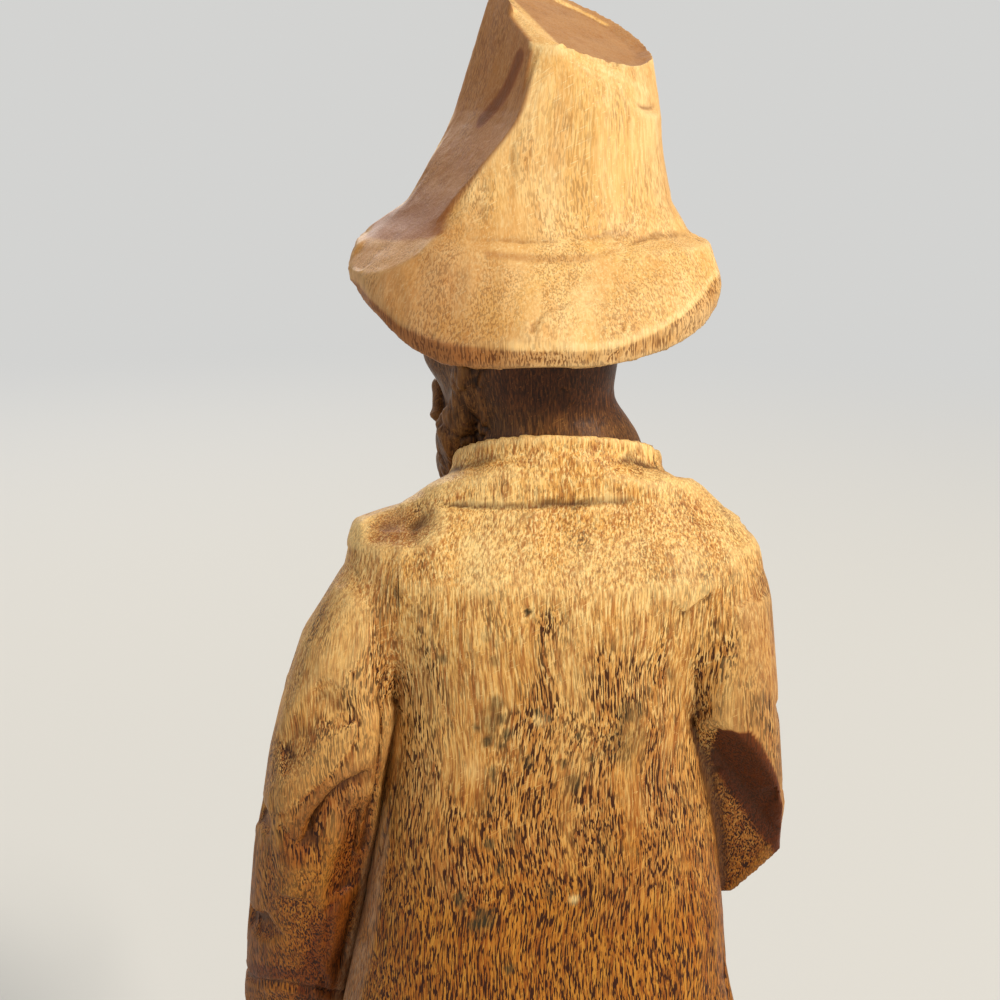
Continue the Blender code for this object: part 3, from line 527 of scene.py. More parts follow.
def carved_wood(name, tones, darkening_below=("#ffffff", 0, 1), short_above=UNSEEN, contrast=1.0, roughness=0.5):
    """Waxed hardwood. Tones: honey, pale, deep, pore, a dark one for dirt and painted shade, and a pale
    one for wear and painted highlight. Darkening below: a tone, its full height and the height where it
    ends; it is partly patina and partly painted shade. Short dashes take the place of the long ones
    above a height."""
    honey, pale, deep, pore, grime_and_shade, worn_and_lit = tones
    below_tone, below_full, below_end = darkening_below
    material, tree, shader = new_material(name)
    place = add(tree, "ShaderNodeTexCoord").outputs["Object"]
    in_mm = add(tree, "ShaderNodeVectorMath", {"operation": "SCALE", "Scale": 1000.0}, {0: place}).outputs[0]
    wander = add(tree, "ShaderNodeTexNoise", {"Scale": 0.035, "Detail": 1.0}, {"Vector": in_mm})
    sway = add(tree, "ShaderNodeVectorMath", {"operation": "MULTIPLY_ADD", 1: (5, 5, 0)},
               {0: wander.outputs["Color"], 2: in_mm}).outputs[0]
    guides = {}
    for number, (guide, (width, length, detail, lean)) in enumerate(THREADS.items()):
        leaning = add(tree, "ShaderNodeVectorRotate",
                      {"rotation_type": "Y_AXIS", "Angle": math.radians(lean)}, {"Vector": sway})
        drawn = add(tree, "ShaderNodeVectorMath", {"operation": "MULTIPLY_ADD",
                    1: (1 / width, 1 / width, 1 / length), 2: (7.3 * number,) * 3}, {0: leaning.outputs[0]})
        noise = add(tree, "ShaderNodeTexNoise", {"Scale": 1.0, "Detail": detail, "Roughness": 0.55},
                    {"Vector": drawn.outputs[0]})
        guides[guide] = noise.outputs["Fac"]
    for mark in MARKS:
        guides[mark] = add(tree, "ShaderNodeAttribute", {"attribute_name": mark}).outputs["Fac"]
    upright = add(tree, "ShaderNodeSeparateXYZ", {}, {0: in_mm}).outputs["Z"]
    guides["height"] = add(tree, "ShaderNodeMath", {"operation": "MULTIPLY_ADD", 1: 50.0},
                           {0: guides["cloud"], 2: upright}).outputs[0]
    # Coarse open pores crowd the lower part and thin out above short_above.
    crowd = add(tree, "ShaderNodeMath", {"operation": "MULTIPLY_ADD", 1: -CROWDING,
                2: CROWDING * short_above}, {0: guides["height"]}).outputs[0]
    guides["crowd"] = add(tree, "ShaderNodeMath", {"operation": "ADD"},
                          {0: crowd, 1: guides["density"]}).outputs[0]
    layers = [
        # guide, from, to, strength, tone, blend, window (guide, from, to, least)
        ("figure", 0.36, 0.64, 1.0, pale, "MIX", None),
        ("cloud", 0.45, 0.75, 0.5, deep, "MIX", None),
        ("band", 0.50, 0.70, 0.5, deep, "MIX", None),
        ("streak", 0.50, 0.68, 0.7 * contrast, deep, "MIX", None),
        ("streak", 0.47, 0.32, 0.5 * contrast, pale, "MIX", None),
        ("fibre", 0.50, 0.64, 0.6 * contrast, deep, "MIX", None),
        ("fibre", 0.48, 0.36, 0.75 * contrast, worn_and_lit, "MIX", None),
        ("scratch", 0.73, 0.77, 0.6, worn_and_lit, "MIX", None),
        ("long dash", 0.50, 0.56, contrast, pore, "MIX", ("crowd", 0.34, 0.60, 0)),
        ("short dash", 0.54, 0.62, 0.42 * contrast, pore, "MIX",
         ("height", short_above - 10, short_above + 30, 0)),
        ("long dash", 0.50, 0.58, 0.9, pore, "MIX", ("open_grain", 0, 1, 0)),
        # Ridges go pale: wear, and a painted highlight on them too.
        ("relief", 0.25, 1.0, 0.35, worn_and_lit, "MIX", None),
        # Darker towards the bottom: partly patina, partly painted shade.
        ("height", below_end + 25, below_full + 25, 1.0, below_tone, "MULTIPLY", None),
        # The shade mark: above 0 painted highlight and some pale patches, below 0 painted shade and some
        # darker tone, deepest below -0.75.
        ("shade", 0.0, 1.0, 0.8, worn_and_lit, "MIX", ("fibre", 0.62, 0.40, 0.35)),
        ("shade", 0.0, -1.0, 1.0, DARKENING_TONE, "MULTIPLY", None),
        ("shade", -0.75, -1.0, 0.6, grime_and_shade, "MIX", None),
        # Hollows go dark: old wax and dirt, and painted shade too.
        ("relief", -0.15, -1.0, 0.85, grime_and_shade, "MIX", None),
        # Stain spots; on the hat this mark holds a painted shadow instead.
        ("stain", 0.0, 1.0, 0.85, SPOT_GREY, "MIX", ("fibre", 0.36, 0.56, 0.7)),
        ("dust", 0.0, 1.0, 1.0, DUST_GREY, "MIX", ("fibre", 0.62, 0.35, 0.3)),
    ]
    colour = None
    for guide, low, high, strength, tone, blend, window in layers:
        share = add(tree, "ShaderNodeMapRange", {"From Min": low, "From Max": high, "To Max": strength},
                    {"Value": guides[guide]}).outputs[0]
        if window is not None:
            through, shut, opened, least = window
            gate = add(tree, "ShaderNodeMapRange", {"From Min": shut, "From Max": opened, "To Min": least},
                       {"Value": guides[through]}).outputs[0]
            share = add(tree, "ShaderNodeMath", {"operation": "MULTIPLY"}, {0: share, 1: gate}).outputs[0]
        layer = add(tree, "ShaderNodeMix", {"data_type": "RGBA", "blend_type": blend, 6: linear(honey),
                    7: linear(tone)}, {0: share, 6: colour})
        colour = layer.outputs[2]
    tree.links.new(colour, shader.inputs["Base Color"])

    rough = add(tree, "ShaderNodeMapRange", {"From Min": 0.3, "From Max": 0.7, "To Min": roughness - 0.06,
                "To Max": roughness + 0.12}, {"Value": guides["cloud"]}).outputs[0]
    rough = add(tree, "ShaderNodeMath", {"operation": "MULTIPLY_ADD", 1: 0.3}, {0: guides["dust"], 2: rough})
    tree.links.new(rough.outputs[0], shader.inputs["Roughness"])
    shader.inputs["IOR"].default_value = 1.48
    shader.inputs["Specular IOR Level"].default_value = 0.2

    raised = None
    for guide, depth in GRAIN_DEPTHS.items():
        raised = add(tree, "ShaderNodeMath", {"operation": "MULTIPLY_ADD", 1: depth * contrast, 2: 0.0},
                     {0: guides[guide], 2: raised}).outputs[0]
    bumped = add(tree, "ShaderNodeBump", {"Strength": 0.8, "Distance": 0.0002}, {"Height": raised})
    tree.links.new(bumped.outputs["Normal"], shader.inputs["Normal"])
    return material


# The fifth tone is for dirt and painted shade, the sixth for wear and painted highlight; the coat also
# darkens towards the bottom, partly patina and partly painted shade.
COAT = carved_wood("waxed_hardwood_coat", ("#e4ab58", "#f6c87a", "#a0602a", "#48270c", "#46260e", "#fad892"),
                   darkening_below=("#c09c5c", 215, 305), short_above=292, contrast=1.1)
HAT = carved_wood("waxed_hardwood_hat", ("#eaba6e", "#f4cb8a", "#cf954e", "#74461c", "#7c4c24", "#f8dca0"),
                  short_above=398, contrast=0.45)
TROUSERS = carved_wood("waxed_hardwood_trousers",
                       ("#a16932", "#bd8346", "#7b4a22", "#3f220e", "#38200f", "#cf9a5c"), contrast=0.8)
STAINED = carved_wood("dark_stained_hardwood",
                      ("#543214", "#6c4320", "#3e220d", "#1c0e05", "#221108", "#946532"), contrast=0.6,
                      roughness=0.46)
CANE = carved_wood("whittled_hazel", ("#8a5a2c", "#a8733c", "#66401e", "#3a2210", "#3a2210", "#c08c50"),
                   contrast=0.6)
BASE = carved_wood("hewn_hardwood_base",
                   ("#8a5a30", "#a97240", "#6a4222", "#38200f", "#301b0d", "#bd8850"), contrast=0.9)
print("woods ready")

# %% [markdown]
# ## The coat
# The coat is the main block: trunk, collar and the right upper arm. It is glued to the left sleeve
# at an upright face through the shoulder, and to the right forearm at the elbow. Both blocks of a
# joint are carved with a slice of the other one fused on, and are cut apart again afterwards. So the
# surface runs on over the glue line, and only a short hairline crack shows.

# %% Coat blank with slices of its neighbours
SHOULDER_CUT = 31.0
ELBOW_CUT = -14.0
ARMPIT = 262.0
GLUE_LINE = 0.02
COAT_GRAIN = 0.78


def shoulder_plate():
    """A thin slice of the coat, moved into the gap of the shoulder joint to bridge it."""
    return boolean_box(node_copy("coat", (0.5, 0, 0)), (29.8, -60, ARMPIT + 0.5), (31.5, 60, 330),
                       "INTERSECT")


def elbow_plate():
    """The same for the gap of the elbow joint."""
    return boolean_box(node_copy("coat", (0, -0.5, 0)), (-90, -14.6, 200), (-35, -12.6, 290), "INTERSECT")


shoulder_slice = boolean_box(node_copy("left_sleeve"), (20, -60, ARMPIT + 0.5), (80, 60, 330), "INTERSECT")
elbow_slice = boolean_box(node_copy("right_forearm_sleeve"), (-90, -22, 200), (-20, -5, 290), "INTERSECT")
coat = Block(blank("coat_blank", [node_copy("coat"), shoulder_slice, shoulder_plate(), elbow_slice,
                                  elbow_plate()], COAT_GRAIN))
coat.sand(6)

# %% [markdown]
# The back is nearly plain: slow waves, a break at the yoke under the shoulders, and the seam round
# the collar's foot. The front is not in the photograph. It gets what such a coat has: an overlapped
# edge, lapels, three buttons, a pocket, a sewn-on patch and folds that fall from the waist.

# %% Folds shared by the coat and both sleeves
SLIT = [(32.2, 18, 277), (33, 18, 270), (33.4, 17, 263), (34.5, 15, 252), (36, 13, 240), (38, 11, 226)]
SHOULDER_SCOOP = [(29.5, 12.5, 305.2), (34, 10, 304.8)]
UPPER_FOLDS = [
    # path, steep width, gentle width, depth, gentle side
    ([(-36, 4, 306), (-37.5, -4, 305)], 2.4, 3, 1.0, (0, 0, 1)),
    ([(-43, 6, 301), (-45, -4, 300)], 2.0, 3, 0.7, (0, 0, 1)),
]
SLEEVE_FOLDS = [
    # path, steep width, gentle width, depth (negative for a ridge), gentle side, round bottom
    ([(59, 12, 251), (55.5, 16.2, 256.1), (53.2, 17.3, 261), (49, 18.3, 265.9), (43.9, 18.6, 271.7)],
     4, 8, 1.5, (0, 0, -1), True),
    ([(63, 8, 237), (60.6, 13.3, 240.6), (56.6, 16.6, 244.4), (52, 18.3, 249.6), (47.4, 18.8, 254.7),
      (43, 18.7, 263)], 3.5, 5, -0.9, (0, 0, 1), True),
    ([(56, 15.6, 229), (53.3, 16.8, 234.1), (51.6, 17.5, 238.8), (47.8, 18.2, 244.7), (43.6, 17.7, 248.3),
      (38, 14, 249.6)], 2.0, 9, 3.0, (0, 0, -1), False),
    ([(66, 0, 235), (65, 5, 235.5), (62.5, 11, 236.5), (60.5, 13, 236)], 3.2, 5, 1.9, (0, 0, -1), True),
    ([(40.5, 15.2, 244), (41, 14, 237), (42, 12.5, 230), (43.4, 10.8, 221), (45, 8.5, 212)], 4, 7, 2.4,
     (1, 0, 0), True),
    ([(68, -6, 204), (67, 0, 204.5), (65.8, 5.2, 205.5), (62.5, 7.7, 208)], 2.6, 5.5, 2.2, (0, 0, -1), True),
    ([(55.2, 15.3, 228), (55.6, 14, 222), (56, 12, 215)], 5.5, 5.5, -0.9, (1, 0, 0), True),
    ([(47.6, 0.5, 190), (45.6, 3.5, 203.5), (43.4, 6.5, 216)], 2.2, 4.5, 1.4, (1, 0, 0), False),
]


def shared_shape(block):
    """Cuts that run over the glue lines, made the same way on both sides of them."""
    fill_hollow(block, (33, 2, 288), (15, 34, 15), 22)
    fill_hollow(block, (32, 10, 272), (7, 24, 8), 24)
    fill_hollow(block, (-36, 6, 284), (14, 26, 25), 22)
    carve(block, SLIT, 1.1, 1.5, wide=1.5, gentle=(1, 0, 0), taper=(0.35, 0))
    carve(block, SHOULDER_SCOOP, 6.2, 2.6, gouge=True, taper=(0, 0))
    carve_folds(block, UPPER_FOLDS, gouge=True)
    block.push(0.35 * lumps(block.points, 14, 3, (1, 1, 1.8)) + 0.12 * lumps(block.points, 4.5, 4, (1, 1, 2)))


shared_shape(coat)

# %% The coat's back, collar and front
COLLAR_SEAM = [(-27, 2, 309), (-21, 10, 309.5), (-13.5, 14.8, 310), (-2.6, 16.3, 310), (6, 16, 309.5),
               (15, 14, 308.5), (21.5, 10, 307), (24.5, 2, 305)]
carve(coat, COLLAR_SEAM, 1.2, 0.5, wide=2.2, gentle=(0, 0, 1), taper=(0.1, 0.1))
coat.push(0.2 * lumps(coat.points, 2.4, 43) * ramp(coat.points[:, 2], 313.5, 316))
WOODWORM_HOLE = (4.3, 23.4, 288.8)
coat.push(-1.2 * round_spot(coat.points, WOODWORM_HOLE, 0.4, 1.1))
LEFT_LAPEL = [(13, -16, 309), (11, -20, 296), (7, -23, 281), (2, -24, 268)]
RIGHT_LAPEL = [(-16, -16, 309), (-14, -20, 296), (-8, -23, 281), (0, -24, 268)]
FRONT_EDGE = [(1.5, -24, 269), (3.5, -24, 248), (6, -25, 220), (9, -28, 190), (12, -29.5, 161)]
layer_edge(coat, LEFT_LAPEL, 1.1, 4.5, (1, 0, 0.3))
layer_edge(coat, RIGHT_LAPEL, 1.1, 4.5, (-1, 0, 0.3))
layer_edge(coat, FRONT_EDGE, 1.3, 4.5, (1, 0, 0), taper=(0.05, 0))
for path in ([(9, -23, 296), (15, -20, 291), (20, -18, 286), (14, -22, 276), (3, -24, 268)],
             [(-12, -23, 296), (-18, -20, 291), (-23, -18, 286), (-15, -22, 276), (-2, -24, 268)]):
    carve(coat, path, 1.2, 0.9, wide=1.6, taper=(0.2, 0.1))
FRONT_FOLDS = [
    ([(26, -20, 262), (22, -23, 246), (16, -24, 238)], 1.8, 5, 1.4, (0, 0, -1)),
    ([(28, -19, 246), (24, -22, 228), (20, -25, 205), (19, -28, 180), (20, -29, 162)],
     2.2, 6, 1.9, (1, 0, 0)),
    ([(-12, -24, 250), (-10, -24.5, 228), (-9, -26, 200), (-8, -29, 168)], 2.0, 5.5, 1.5, (-1, 0, 0)),
    ([(-30, -20, 222), (-27, -23, 205), (-27, -26, 185), (-28, -27.5, 163)], 2.0, 6, 1.9, (-1, 0, 0)),
    ([(-41, -12, 214), (-43, -14, 195), (-46, -15, 178), (-48, -16, 163)], 2.2, 6, 1.8, (0, 1, 0)),
    ([(-40, 4, 208), (-44, 6, 192), (-48, 7, 165)], 1.8, 5, 1.2, (0, 1, 0)),
    ([(36, -22, 200), (37, -24, 182), (39, -25, 163)], 2.0, 5, 1.6, (1, 0, 0)),
    ([(47, 3, 190), (48, 6, 175), (50, 7, 162)], 1.8, 4.5, 1.2, (0, 1, 0)),
    ([(22, 25, 186), (25, 26, 172), (27, 26, 161)], 1.5, 5, 0.8, (1, 0, 0)),
    ([(-20, 25, 190), (-24, 26, 175), (-27, 26, 161)], 1.5, 5, 0.8, (-1, 0, 0)),
    ([(-30, -14, 286), (-24, -21, 270), (-14, -24, 258)], 1.6, 5, 1.0, (0, 0, -1)),
    ([(-46, -8, 268), (-49, 2, 262), (-47, 10, 262)], 1.6, 5, 1.0, (0, 0, -1)),
    ([(-52, -4, 243), (-53, 4, 241), (-50, 11, 243)], 1.4, 4.5, 1.1, (0, 0, -1)),
]
carve_folds(coat, FRONT_FOLDS, taper=(0.3, 0.12))
print("coat carved:", len(FRONT_FOLDS), "folds")

# %% Buttons, pocket and patch, raised from the same block
def boss(block, spot, radius, height):
    """A carved button: a round boss with a dished top."""
    spot = block.points[np.linalg.norm(block.points - np.array(spot), axis=1).argmin()]
    distance = np.linalg.norm(block.points - spot, axis=1)
    rise = 1 - ramp(distance, radius - 0.4, radius + 0.5)
    dish = 0.35 * (1 - ramp(distance, 0, radius * 0.6))
    moat = 0.3 * ramp(distance, radius, radius + 0.7) * (1 - ramp(distance, radius + 0.9, radius + 1.8))
    block.push(height * (rise - dish * rise) - moat)


for height in (258, 236, 212):
    boss(coat, (3.5 + 0.11 * (262 - height), -25, height), 2.7, 1.5)


PATCH_LIFT = 0.7


def sewn_patch(block, middle, across, up, half_width, half_height):
    """A patch with a turned edge and stitches round it."""
    away = block.points - np.array(middle, float)
    across, up = np.array(across, float), np.array(up, float)
    u = away @ across + 0.6 * lumps(block.points, 6, 31)
    v = away @ up + 0.6 * lumps(block.points, 6, 32)
    outward = np.cross(across, up)
    facing = block.normals() @ outward > 0.2
    edge = np.maximum(np.abs(u) - half_width, np.abs(v) - half_height)
    near = facing & (np.abs(away @ outward) < 9)
    rise = (1 - ramp(edge, -0.6, 0.4)) * PATCH_LIFT
    lap = np.where(np.abs(u) * half_height > np.abs(v) * half_width, v, u)
    stitch = (np.abs(edge + 1.9) < 0.55) & (np.mod(lap, 3.4) < 1.9)
    block.push(np.where(near, rise - 0.45 * stitch, 0))


sewn_patch(coat, (-31, -24, 186), (0.97, -0.23, 0.05), (0.0, 0.1, 0.995), 8.5, 10)
carve(coat, [(22, -25, 214), (31, -22, 212), (37, -17, 210)], 1.2, 0.9, wide=1.8, taper=(0.08, 0.08))
layer_edge(coat, [(22, -25, 206), (31, -23, 204), (38, -19, 203)], 0.9, 3.5, (0, 0, 1))
ragged_edge(coat, 160, 2.4, (0.5, -1.5), (50, 28), 41)


def off_glue(points):
    """0 at the two glue lines and 1 a few millimetres off them."""
    shoulder = np.maximum(ramp(np.abs(points[:, 0] - SHOULDER_CUT), 1.5, 6),
                          1 - ramp(points[:, 2], ARMPIT - 4, ARMPIT))
    elbow = np.maximum(ramp(np.abs(points[:, 1] - ELBOW_CUT), 1.5, 6), ramp(points[:, 0], -34, -30))
    return np.minimum(shoulder, elbow)


knife_facets(coat, 6.5, 0.45, 51, where=off_glue(coat.points))

# %% Cut the coat off at its glue faces
boolean_box(coat.made, (SHOULDER_CUT, -70, ARMPIT), (60, 70, 340), "DIFFERENCE")
boolean_box(coat.made, (-95, -19, 190), (-35.4, ELBOW_CUT, 300), "DIFFERENCE")


def spot_field(points, spots):
    """Dark marks: each is a middle, a size across, a height in mm and a strength."""
    total = np.zeros(len(points))
    wobble = 0.4 * lumps(points, 2.6, 61) + 0.35 * lumps(points, 1.3, 62)
    for x, z, across, high, strength in spots:
        away = np.hypot((points[:, 0] - x) / across, (points[:, 2] - z) / high)
        total = np.maximum(total, strength * (1 - ramp(away + wobble, 0.5, 1.2)))
    return total * (points[:, 1] > 12)


BACK_SPOTS = [
    # x, z, across, high, strength
    (4.3, 288.8, 0.7, 0.7, 1.0), (12.3, 283.3, 1.0, 1.2, 0.3), (6.5, 282.8, 0.6, 1.0, 0.4),
    (10.9, 278.0, 1.0, 1.6, 0.4), (21.7, 277.7, 0.9, 1.1, 0.5), (20.8, 268.1, 0.9, 2.4, 0.4),
    (11.1, 269.0, 1.7, 2.2, 0.5), (11.5, 264.8, 2.6, 4.6, 0.42), (9.8, 264.6, 1.1, 1.9, 0.6),
    (14.9, 262.2, 1.0, 1.4, 0.7), (8.4, 261.7, 1.1, 1.9, 0.75), (12.6, 259.4, 1.2, 1.2, 0.7),
    (9.7, 258.7, 1.2, 1.5, 0.9), (2.1, 266.9, 0.55, 0.8, 0.9), (-6.9, 261.2, 0.8, 1.7, 0.8),
    (-9.7, 256.0, 0.7, 1.0, 0.8), (11.3, 251.8, 1.0, 2.1, 1.0), (3.9, 255.5, 1.3, 2.4, 0.4),
    (-3.8, 254.8, 1.0, 1.3, 0.5), (-6.0, 250.6, 1.6, 2.6, 0.5), (-17.6, 266.0, 3.2, 3.6, 0.4),
    (-16.6, 259.5, 4.6, 5.6, 0.36), (18.5, 236.5, 0.8, 1.3, 0.6), (12.0, 235.5, 0.9, 1.8, 0.8),
    (7.2, 237.2, 2.0, 3.4, 0.35), (9.8, 230.0, 1.1, 2.0, 0.4), (18.8, 222.0, 1.3, 2.2, 0.6),
    (13.8, 217.8, 3.2, 3.4, 0.6), (11.4, 220.3, 0.8, 1.0, 0.7), (8.1, 205.9, 1.4, 1.4, 0.7),
    (-0.8, 224.7, 1.6, 3.0, 0.3), (12.5, 245, 2.2, 5.0, 0.2), (-13, 236, 2.4, 5, 0.2),
]
# Where the shoulders' top turns down into the back; a painted highlight runs along it.
YOKE_BREAK = [(14, 20.2, 298.5), (6, 20.6, 298.8), (-4, 21.2, 297.6), (-18, 20, 297.4), (-27, 18.5, 296)]
PALE_PATCHES = [(15.8, 23.5, 252.9, 4.5, 0.35), (1, 24, 265, 2.5, 0.4), (-6.3, 24, 223, 1.6, 0.9),
                (34, 15, 297, 5, 0.45), (8, 16, 308, 5, 0.35), (-12, 15, 310, 5, 0.35)]
# The cut face behind the elbow, in shade under the sleeve, where a painted shadow goes.
ELBOW_FACE_POINT = np.array([-46.3, 12.2, 246.6])
ELBOW_FACE_NORMAL = np.array([0.38, 0.77, -0.50])


def coat_stain(block):
    return 1.5 * spot_field(block.points, BACK_SPOTS)


def coat_shade(block):
    """Painted highlight along the yoke's break, painted shade in the shoulder's hollow and painted
    shadow on the cut face behind the elbow; also a pale strip above the collar seam, pale patches and
    a darker tone low on the left and on the right upper arm.
    """
    points = block.points
    broken = 0.5 + 0.6 * lumps(points, 6, 73, (1, 1, 2))
    # Painted highlight along the yoke's break and painted shade in the shoulder's hollow.
    total = 0.8 * along(points, YOKE_BREAK, 9) * broken - 0.4 * along(points, SHOULDER_SCOOP, 6.5)
    total = total + 0.6 * along(points, [(x, y + 1, z + 1.2) for x, y, z in COLLAR_SEAM], 1.5)
    total = total - 0.2 * ramp(points[:, 0], 8, 30) * (1 - ramp(points[:, 2], 185, 215))
    total = total - 0.35 * (1 - ramp(points[:, 0], -46, -36)) * (1 - ramp(points[:, 2], 285, 300))
    for x, y, z, radius, strength in PALE_PATCHES:
        total = total + strength * round_spot(points, (x, y, z), radius * 0.3, radius)
    # Painted shadow on the cut face behind the elbow.
    off_face = np.abs((points - ELBOW_FACE_POINT) @ ELBOW_FACE_NORMAL)
    behind = (points[:, 0] < -37) & (points[:, 2] > 212) & (points[:, 2] < 260) & (points[:, 1] > -4)
    return total - (1 - ramp(off_face, 0.7, 1.6)) * behind


DUST_COAT_EDGE = ((189.3, 200.1, 214.6, 229.7, 244.7), (42.3, 39.7, 37.1, 34.9, 34.5))


def coat_dust(block):
    """Lint and dust on the coat's side of the slit behind the left sleeve."""
    x, y, z = block.points.T
    strip = ramp(x - np.interp(z, *DUST_COAT_EDGE), -0.8, 0.8) * ramp(y, -8, 0)
    return 0.8 * strip * (1 - ramp(z, 228, 246)) * (0.8 + 0.3 * lumps(block.points, 3, 75))


finish_piece(coat.made, "coat", "coat_wood", COAT, stain=coat_stain, shade=coat_shade, dust=coat_dust)

# %% [markdown]
# ## The left sleeve
# The sleeve hangs beside the trunk with deep folds that run down and outwards, each with one steep
# side, as the photograph shows. Its lower part is painted darker, its hollows get painted shade, and
# the strip that faces the trunk holds dust.

# %% Left sleeve
coat_slice = boolean_box(node_copy("coat"), (8, -60, ARMPIT + 0.5), (40, 60, 330), "INTERSECT")
sleeve = Block(blank("left_sleeve_blank", [node_copy("left_sleeve"), coat_slice, shoulder_plate()],
                     COAT_GRAIN))
sleeve.sand(6)
shared_shape(sleeve)
for *fold, round_bottom in SLEEVE_FOLDS:
    carve_folds(sleeve, [fold], gouge=round_bottom, taper=(0.2, 0.2))
SLEEVE_FRONT_FOLDS = [
    ([(62, -6, 246), (57, -12, 240), (49, -13, 236), (42, -11, 232)], 1.6, 6, 1.7, (0, 0, -1)),
    ([(64, -8, 226), (58, -15, 220), (50, -17, 218), (44, -14, 219)], 1.6, 5.5, 1.9, (0, 0, -1)),
    ([(68, -12, 208), (62, -20, 202), (53, -21, 202), (47, -17, 206)], 1.6, 5, 1.6, (0, 0, -1)),
    ([(56, -8, 272), (50, -13, 262), (43, -13, 252)], 1.8, 6, 1.2, (0, 0, -1)),
    ([(58, 6, 268), (61, 0, 258), (60, -8, 250)], 1.8, 5, 1.0, (0, 0, -1)),
]
carve_folds(sleeve, SLEEVE_FRONT_FOLDS)
CUFF_LINE = [(73, -12, 183), (71.1, -6.1, 184.7), (64.3, 1.7, 188), (56, 1.5, 187), (49, -4, 183),
             (47, -14, 179), (50, -26, 175), (58, -31, 174), (68, -28, 177), (73, -20, 181), (73, -12, 183)]
carve(sleeve, CUFF_LINE, 1.0, 1.1, wide=2.6, taper=(0, 0))
chop(sleeve, (43, 12, 302), (0.35, 0.25, 0.9), 14)
chop(sleeve, (52, 8, 283), (0.86, 0.25, 0.44), 16, 0.8)
knife_facets(sleeve, 5.5, 0.5, 52, where=off_glue(sleeve.points))
# Close the gap to the trunk: the glued side sinks a little into the coat.
inner = ramp(-sleeve.normals()[:, 0], 0.1, 0.5) * (1 - ramp(sleeve.points[:, 2], 262, 266))
sleeve.push(0.8 * inner)
sleeve.store()
boolean_box(sleeve.made, (0, -70, ARMPIT - 0.2), (SHOULDER_CUT + GLUE_LINE, 70, 340), "DIFFERENCE")

# %% The hairline crack in the glue line, and the sleeve's dirt
CRACK_WIDTH = 0.2
sleeve = Block(sleeve.made)
x, y, z = sleeve.points.T
glued_face = (x < SHOULDER_CUT + GLUE_LINE + 0.01) & (y > 5)
sleeve.points[:, 0] += CRACK_WIDTH * glued_face * ramp(z, 286, 289) * (1 - ramp(z, 293.5, 296))
sleeve.store()


DUST_HEIGHTS = (180.6, 192.3, 203.7, 230.5, 241.7)
DUST_EDGE = (50.7, 47.6, 44.8, 39.0, 35.6)
SHOULDER_CORNER = (40, 6.7, 301.7)
# Paths of painted shade: the cuff's crease and the hollow beside the trunk.
CUFF_BAND = [(70, -4, 187), (66, 0.5, 190), (61, 2.6, 191), (57, 2, 191)]
DARK_STRIP = [(41.5, 14, 240), (42.5, 12, 231), (45.5, 9, 220), (49, 7, 208), (51.5, 4, 197), (54, 0, 184)]


def sleeve_dust(block):
    """Dust lies on the strip that faces the trunk, more of it lower down."""
    x, y, z = block.points.T
    strip = ramp(np.interp(z, DUST_HEIGHTS, DUST_EDGE) - x, -0.6, 1.2)
    return 0.85 * strip * (1 - ramp(z, 222, 245)) * ramp(y, -10, 0) * (0.8 + 0.3 * lumps(block.points, 3, 74))


def sleeve_shade(block):
    """The sleeve is darker overall and more so towards the cuff, with painted shade in its hollows and
    creases and a pale spot on the shoulder's corner.
    """
    height = block.points[:, 2] + 8 * lumps(block.points, 14, 71)
    # Painted shade in the shoulder's hollow, the cuff's crease, the deep fold and the hollow beside the
    # trunk.
    hollow = 0.4 * along(block.points, SHOULDER_SCOOP, 6.5) + 0.3 * along(block.points, CUFF_BAND, 3)
    hollow = hollow + 0.35 * along(block.points, SLEEVE_FOLDS[2][0], 5)
    hollow = hollow + 0.4 * along(block.points, DARK_STRIP, 6.5)
    corner = 0.6 * round_spot(block.points, SHOULDER_CORNER, 1.5, 5)
    total = corner - 0.12 - 0.18 * (1 - ramp(height, 225, 262)) - 0.22 * (1 - ramp(height, 190, 222)) - hollow
    return np.maximum(total, -0.8)


finish_piece(sleeve.made, "left_sleeve", "coat_wood", COAT, shade=sleeve_shade, dust=sleeve_dust)

# %% Right forearm sleeve
upper_slice = boolean_box(node_copy("coat"), (-90, -15, 190), (-28, -4, 290), "INTERSECT")
forearm = Block(blank("right_forearm_blank", [node_copy("right_forearm_sleeve"), upper_slice, elbow_plate()],
                      COAT_GRAIN))
forearm.sand(6)
shared_shape(forearm)
FOREARM_FOLDS = [
    ([(-54, -18, 232), (-52, -20, 240), (-44, -22, 244), (-36, -20, 242)], 1.5, 5, 1.5, (0, -1, 0)),
    ([(-53, -28, 228), (-51, -29, 240), (-43, -30, 247), (-34, -28, 245)], 1.5, 5, 1.5, (0, -1, 0)),
    ([(-50, -36, 228), (-44, -34, 221), (-36, -32, 224)], 1.5, 5, 1.4, (0, -1, 0)),
    ([(-52, -22, 222), (-45, -22, 215), (-37, -24, 219)], 1.5, 5, 1.4, (0, -1, 0)),
]
carve_folds(forearm, FOREARM_FOLDS)
angles = np.linspace(0, 2 * math.pi, 13)
RIGHT_CUFF_LINE = [(-38.5 + 12 * math.cos(a), -46, 240.5 + 13.5 * math.sin(a)) for a in angles]
carve(forearm, RIGHT_CUFF_LINE, 1.0, 1.0, wide=2.4, gentle=(0, 1, 0), taper=(0, 0))
knife_facets(forearm, 5.5, 0.5, 53, where=off_glue(forearm.points))
boolean_box(forearm.made, (-95, ELBOW_CUT - GLUE_LINE, 180), (-10, 60, 320), "DIFFERENCE")
finish_piece(forearm.made, "right_forearm_sleeve", "coat_wood", COAT, name="right_forearm_carved",
             shade=lambda block: np.full(len(block.points), -0.3))

